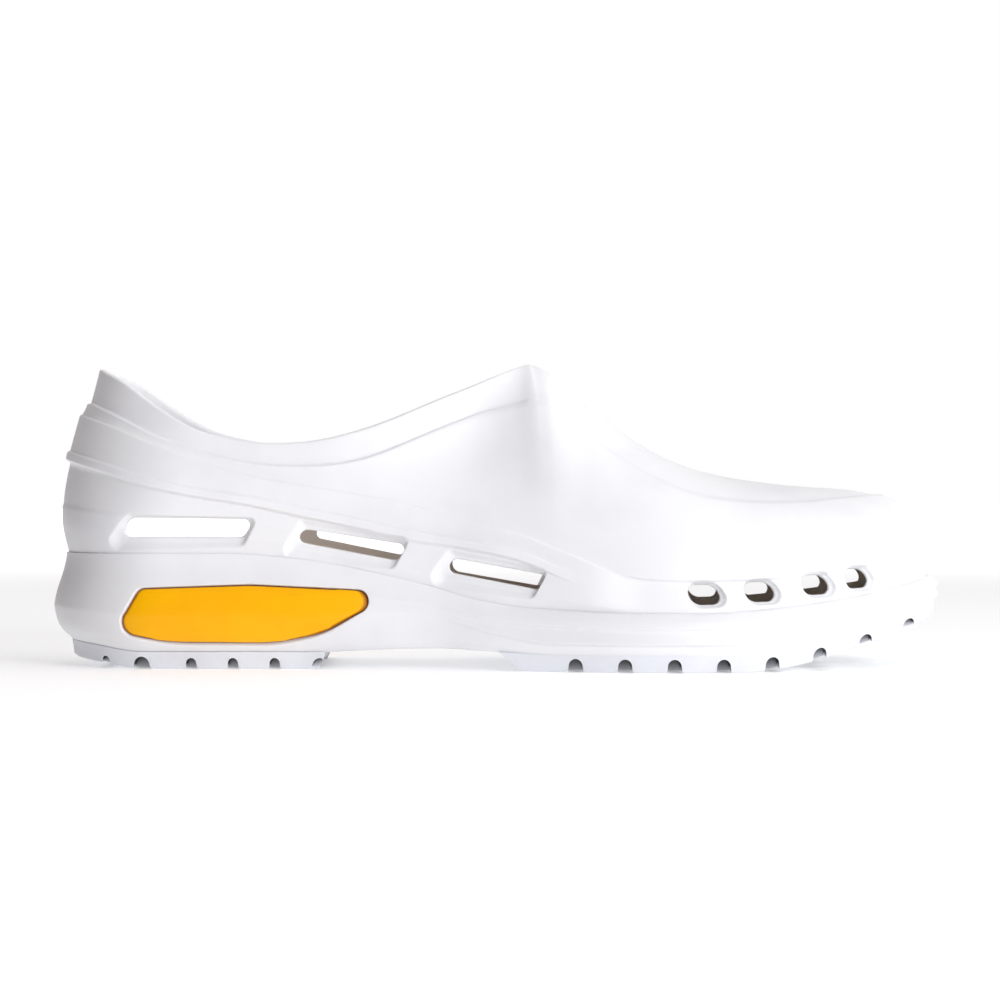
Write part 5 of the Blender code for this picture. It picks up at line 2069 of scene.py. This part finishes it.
    def build(self) -> bpy.types.Object:
        """Builds the grooved bottom, the tapered sides and the flat top.

        A point so deep into the pad has moved the same share of the way from the low
        plan to the high plan.

        Returns:
            The piece.
        """
        last = self.last
        x_low, groove = self.profile().T
        reach = last.x_of(self.high_span) - last.x_of(self.low_span)
        slant = np.clip(1 - (x_low - x_low[0]) / self.slant_length, 0, 1)
        x_high = x_low + reach[0] * slant
        slant = np.clip(1 - (x_low[-1] - x_low) / self.slant_length, 0, 1)
        x_high = x_high + reach[1] * slant
        axis = last.axis_y(last.along_of(x_low))
        low, _ = self.plan(x_low, axis, self.low_inset)
        high, fits = self.plan(x_high, axis, self.high_inset)
        depth = self.depths(x_low, groove, fits)
        share = depth / last.pad_depth(x_low)[:, None]
        x = x_low[:, None] * (1 - share) + x_high[:, None] * share
        y = low * (1 - share) + high * share
        z = last.ground_z(x_low)[:, None] + depth
        bottom = np.stack([x, y, z], axis=-1)
        top_z = last.underside_z(x_high) - last.gap + self.lift
        top = [np.broadcast_to(k[:, None], y.shape) for k in (x_high, top_z)]
        top = np.stack([top[0], high, top[1]], axis=-1)
        steps = np.arange(y.shape[1])
        from_edge = np.minimum(steps, steps[::-1])
        # Painted shade in the grooves and channels: darker the deeper the face lies,
        # and none at the pad's own edges.
        start, over = self.groove_shade_depth
        painted_groove_shade = np.clip((depth - start) / over, 0, 1) * np.clip(from_edge / 2, 0, 1)
        skin = Skin()
        skin.grid(bottom, painted_groove_shade)
        skin.grid(top)
        for border in (np.s_[:, 0], np.s_[:, -1], np.s_[0], np.s_[-1]):
            skin.grid(np.stack([bottom[border], top[border]], axis=1))
        return skin.build(self.name, self.shift)


@dataclass
class HeelPad(TreadPad):
    """The heel's tread, with one small and one large groove at its back."""

    name: str = "tread_heel"
    low_span: tuple[float, float] = (0.022, 0.305)
    high_span: tuple[float, float] = (0.022, 0.311)
    low_inset: float = 7.5
    high_inset: float = 5.8
    grooves: tuple[Triple, ...] = (
        (-125.6, 2.6, 2.4),
        (-113.6, 5.2, 3.9),
        *((x, 3.5, 3.5) for x in (-97.8, -84.5, -71.2, -57.9)),
    )
    channel_span: tuple[float, float] = (0.075, 0.285)


@dataclass
class ForefootPad(TreadPad):
    """The forefoot's tread, with even grooves from the ball to the toe."""

    name: str = "tread_forefoot"
    low_span: tuple[float, float] = (0.524, 0.994)
    high_span: tuple[float, float] = (0.500, 0.994)
    low_inset: float = 3.2
    high_inset: float = 2.4
    grooves: tuple[Triple, ...] = tuple((24.14 + 15.4 * k, 4.6, 4.2) for k in range(8))
    channel_span: tuple[float, float] = (0.560, 0.880)


@dataclass(frozen=True)
class SoftLight:
    """One soft rectangular light that faces its aim, with places in metres."""

    name: str
    eye: Triple
    aim: Triple
    size: tuple[float, float]
    power: float
    tint: Triple

    def build(self) -> None:
        """Adds the light."""
        data = bpy.data.lights.new(self.name, "AREA")
        data.shape, data.size, data.size_y = "RECTANGLE", *self.size
        data.energy, data.color = self.power, self.tint
        lamp = bpy.data.objects.new(self.name, data)
        lamp.location = self.eye
        way = Vector(self.aim) - Vector(self.eye)
        lamp.rotation_euler = way.to_track_quat("-Z", "Y").to_euler()
        bpy.context.scene.collection.objects.link(lamp)


@dataclass
class Studio:
    """The pale floor, soft lights and the camera at the photograph's angle."""

    lens: float = 109.7
    sensor: float = 36.0
    eye: Triple = (0.0007, -1.0, 0.0633)
    shift_y: float = -0.03
    floor_reach: float = 4.0
    sky: float = 0.92
    shade: Triple = (0.05, 0.032, 0.03)
    dusk: Triple = (0.37, 0.315, 0.315)
    bright: Triple = (1.0, 1.0, 1.0)
    bright_way: Triple = (0.62, 0.52, 0.59)
    lights: tuple[SoftLight, ...] = (
        SoftLight(
            name="key",
            eye=(0.66, -0.92, 0.36),
            aim=(0.18, 0, 0.03),
            size=(0.6, 0.4),
            power=8.4,
            tint=(0.965, 0.98, 1),
        ),
        SoftLight(
            name="top",
            eye=(0.40, -0.3, 1.0),
            aim=(0.05, 0, 0.05),
            size=(0.6, 0.5),
            power=0.8,
            tint=(1, 1, 1),
        ),
    )

    def floor(self) -> None:
        """Builds the floor, which the shoe stands on."""
        mesh = bpy.data.meshes.new("studio_floor")
        ways, size = ((-1, -1), (1, -1), (1, 1), (-1, 1)), self.floor_reach
        corners = [(x * size, y * size, 0) for x, y in ways]
        mesh.from_pydata(corners, [], [(0, 1, 2, 3)])
        floor = bpy.data.objects.new("studio_floor", mesh)
        bpy.context.scene.collection.objects.link(floor)
        floor.data.materials.append(PaperFloor().make())

    def backdrop(self) -> None:
        """Builds the sky: bright one way, shaded the other, and plain white behind.

        How much of a direction points the bright way sets its tone. What the
        camera itself sees of the sky is white.
        """
        world = bpy.data.worlds.new("studio")
        world.use_nodes = True
        wiring, nodes = Wiring(world.node_tree), world.node_tree.nodes
        way = wiring.add("TexCoord").outputs["Generated"]
        turn = {0: way, 1: self.bright_way}
        turn = wiring.add("VectorMath", turn, operation="DOT_PRODUCT").outputs["Value"]
        share = wiring.add("MapRange", {"From Min": -1, "Value": turn})
        share = share.outputs["Result"]
        stops = ((0.40, self.shade), (0.57, self.dusk), (0.80, self.bright))
        tones = {"Color": wiring.ramp(share, stops), "Strength": self.sky}
        wiring.join(nodes["Background"], tones)
        seen = wiring.add("LightPath").outputs["Is Camera Ray"]
        white = wiring.add("Background", {"Color": (1, 1, 1, 1)}).outputs[0]
        both = {"Fac": seen, 1: nodes["Background"].outputs[0], 2: white}
        both = wiring.add("MixShader", both).outputs["Shader"]
        wiring.join(nodes["World Output"], {"Surface": both})
        bpy.context.scene.world = world
        bpy.context.scene.view_settings.view_transform = "Standard"

    def camera(self) -> None:
        """Sets up the camera, level and square to the shoe's side."""
        data = bpy.data.cameras.new("camera")
        data.lens, data.sensor_width = self.lens, self.sensor
        data.shift_y = self.shift_y
        camera = bpy.data.objects.new("camera", data)
        camera.location = self.eye
        camera.rotation_euler = (math.radians(90), 0, 0)
        bpy.context.scene.collection.objects.link(camera)
        bpy.context.scene.camera = camera

    def build(self) -> None:
        """Builds the floor, the sky, the lights and the camera."""
        self.floor()
        self.backdrop()
        for light in self.lights:
            light.build()
        self.camera()


def middle_of(sole: SoleUnit) -> Array:
    """How far the parts move so that the origin is under the middle of their box.

    Args:
        sole: the sole unit, whose edges reach furthest.

    Returns:
        The move in mm.
    """
    edges = [sole.edge(side, row) for side in Side for row in SIDE_EDGES]
    edges = np.concatenate(edges)
    middle = (edges.min(axis=0) + edges.max(axis=0)) / 2
    return -middle * (1, 1, 0)


def main() -> None:
    """Builds the pieces in order, dresses the studio and reports each piece."""
    logging.basicConfig(level=logging.INFO, format="%(name)s %(message)s")
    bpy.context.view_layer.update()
    last = Last()
    shift = middle_of(SoleUnit(last, np.zeros(3)))
    foam, rubber = MouldedFoam().make(), TreadRubber().make()
    soft, plastic = FootbedFoam().make(), InsertPlastic().make()
    upper = Upper(last, shift).build()
    sole = SoleUnit(last, shift)
    sole_piece, (insert_lateral, insert_medial) = sole.build()
    pieces = (
        (upper, foam, "upper", "moulded_white"),
        (sole_piece, foam, "sole", "moulded_white"),
        (insert_lateral, plastic, "insert_lateral", "insert_yellow"),
        (insert_medial, plastic, "insert_medial", "insert_yellow"),
        (HeelPad(last, shift).build(), rubber, "outsole_heel", "tread_white"),
        (ForefootPad(last, shift).build(), rubber, "outsole_forefoot", "tread_white"),
        (Footbed(sole).build(), soft, "insole", "footbed_white"),
    )
    for piece, finish, node, slot in pieces:
        dress(piece, finish, node, slot)
        logger.info("%s stands for %s in %s", piece.name, node, slot)
    Studio().build()


if __name__ == "__main__":
    main()
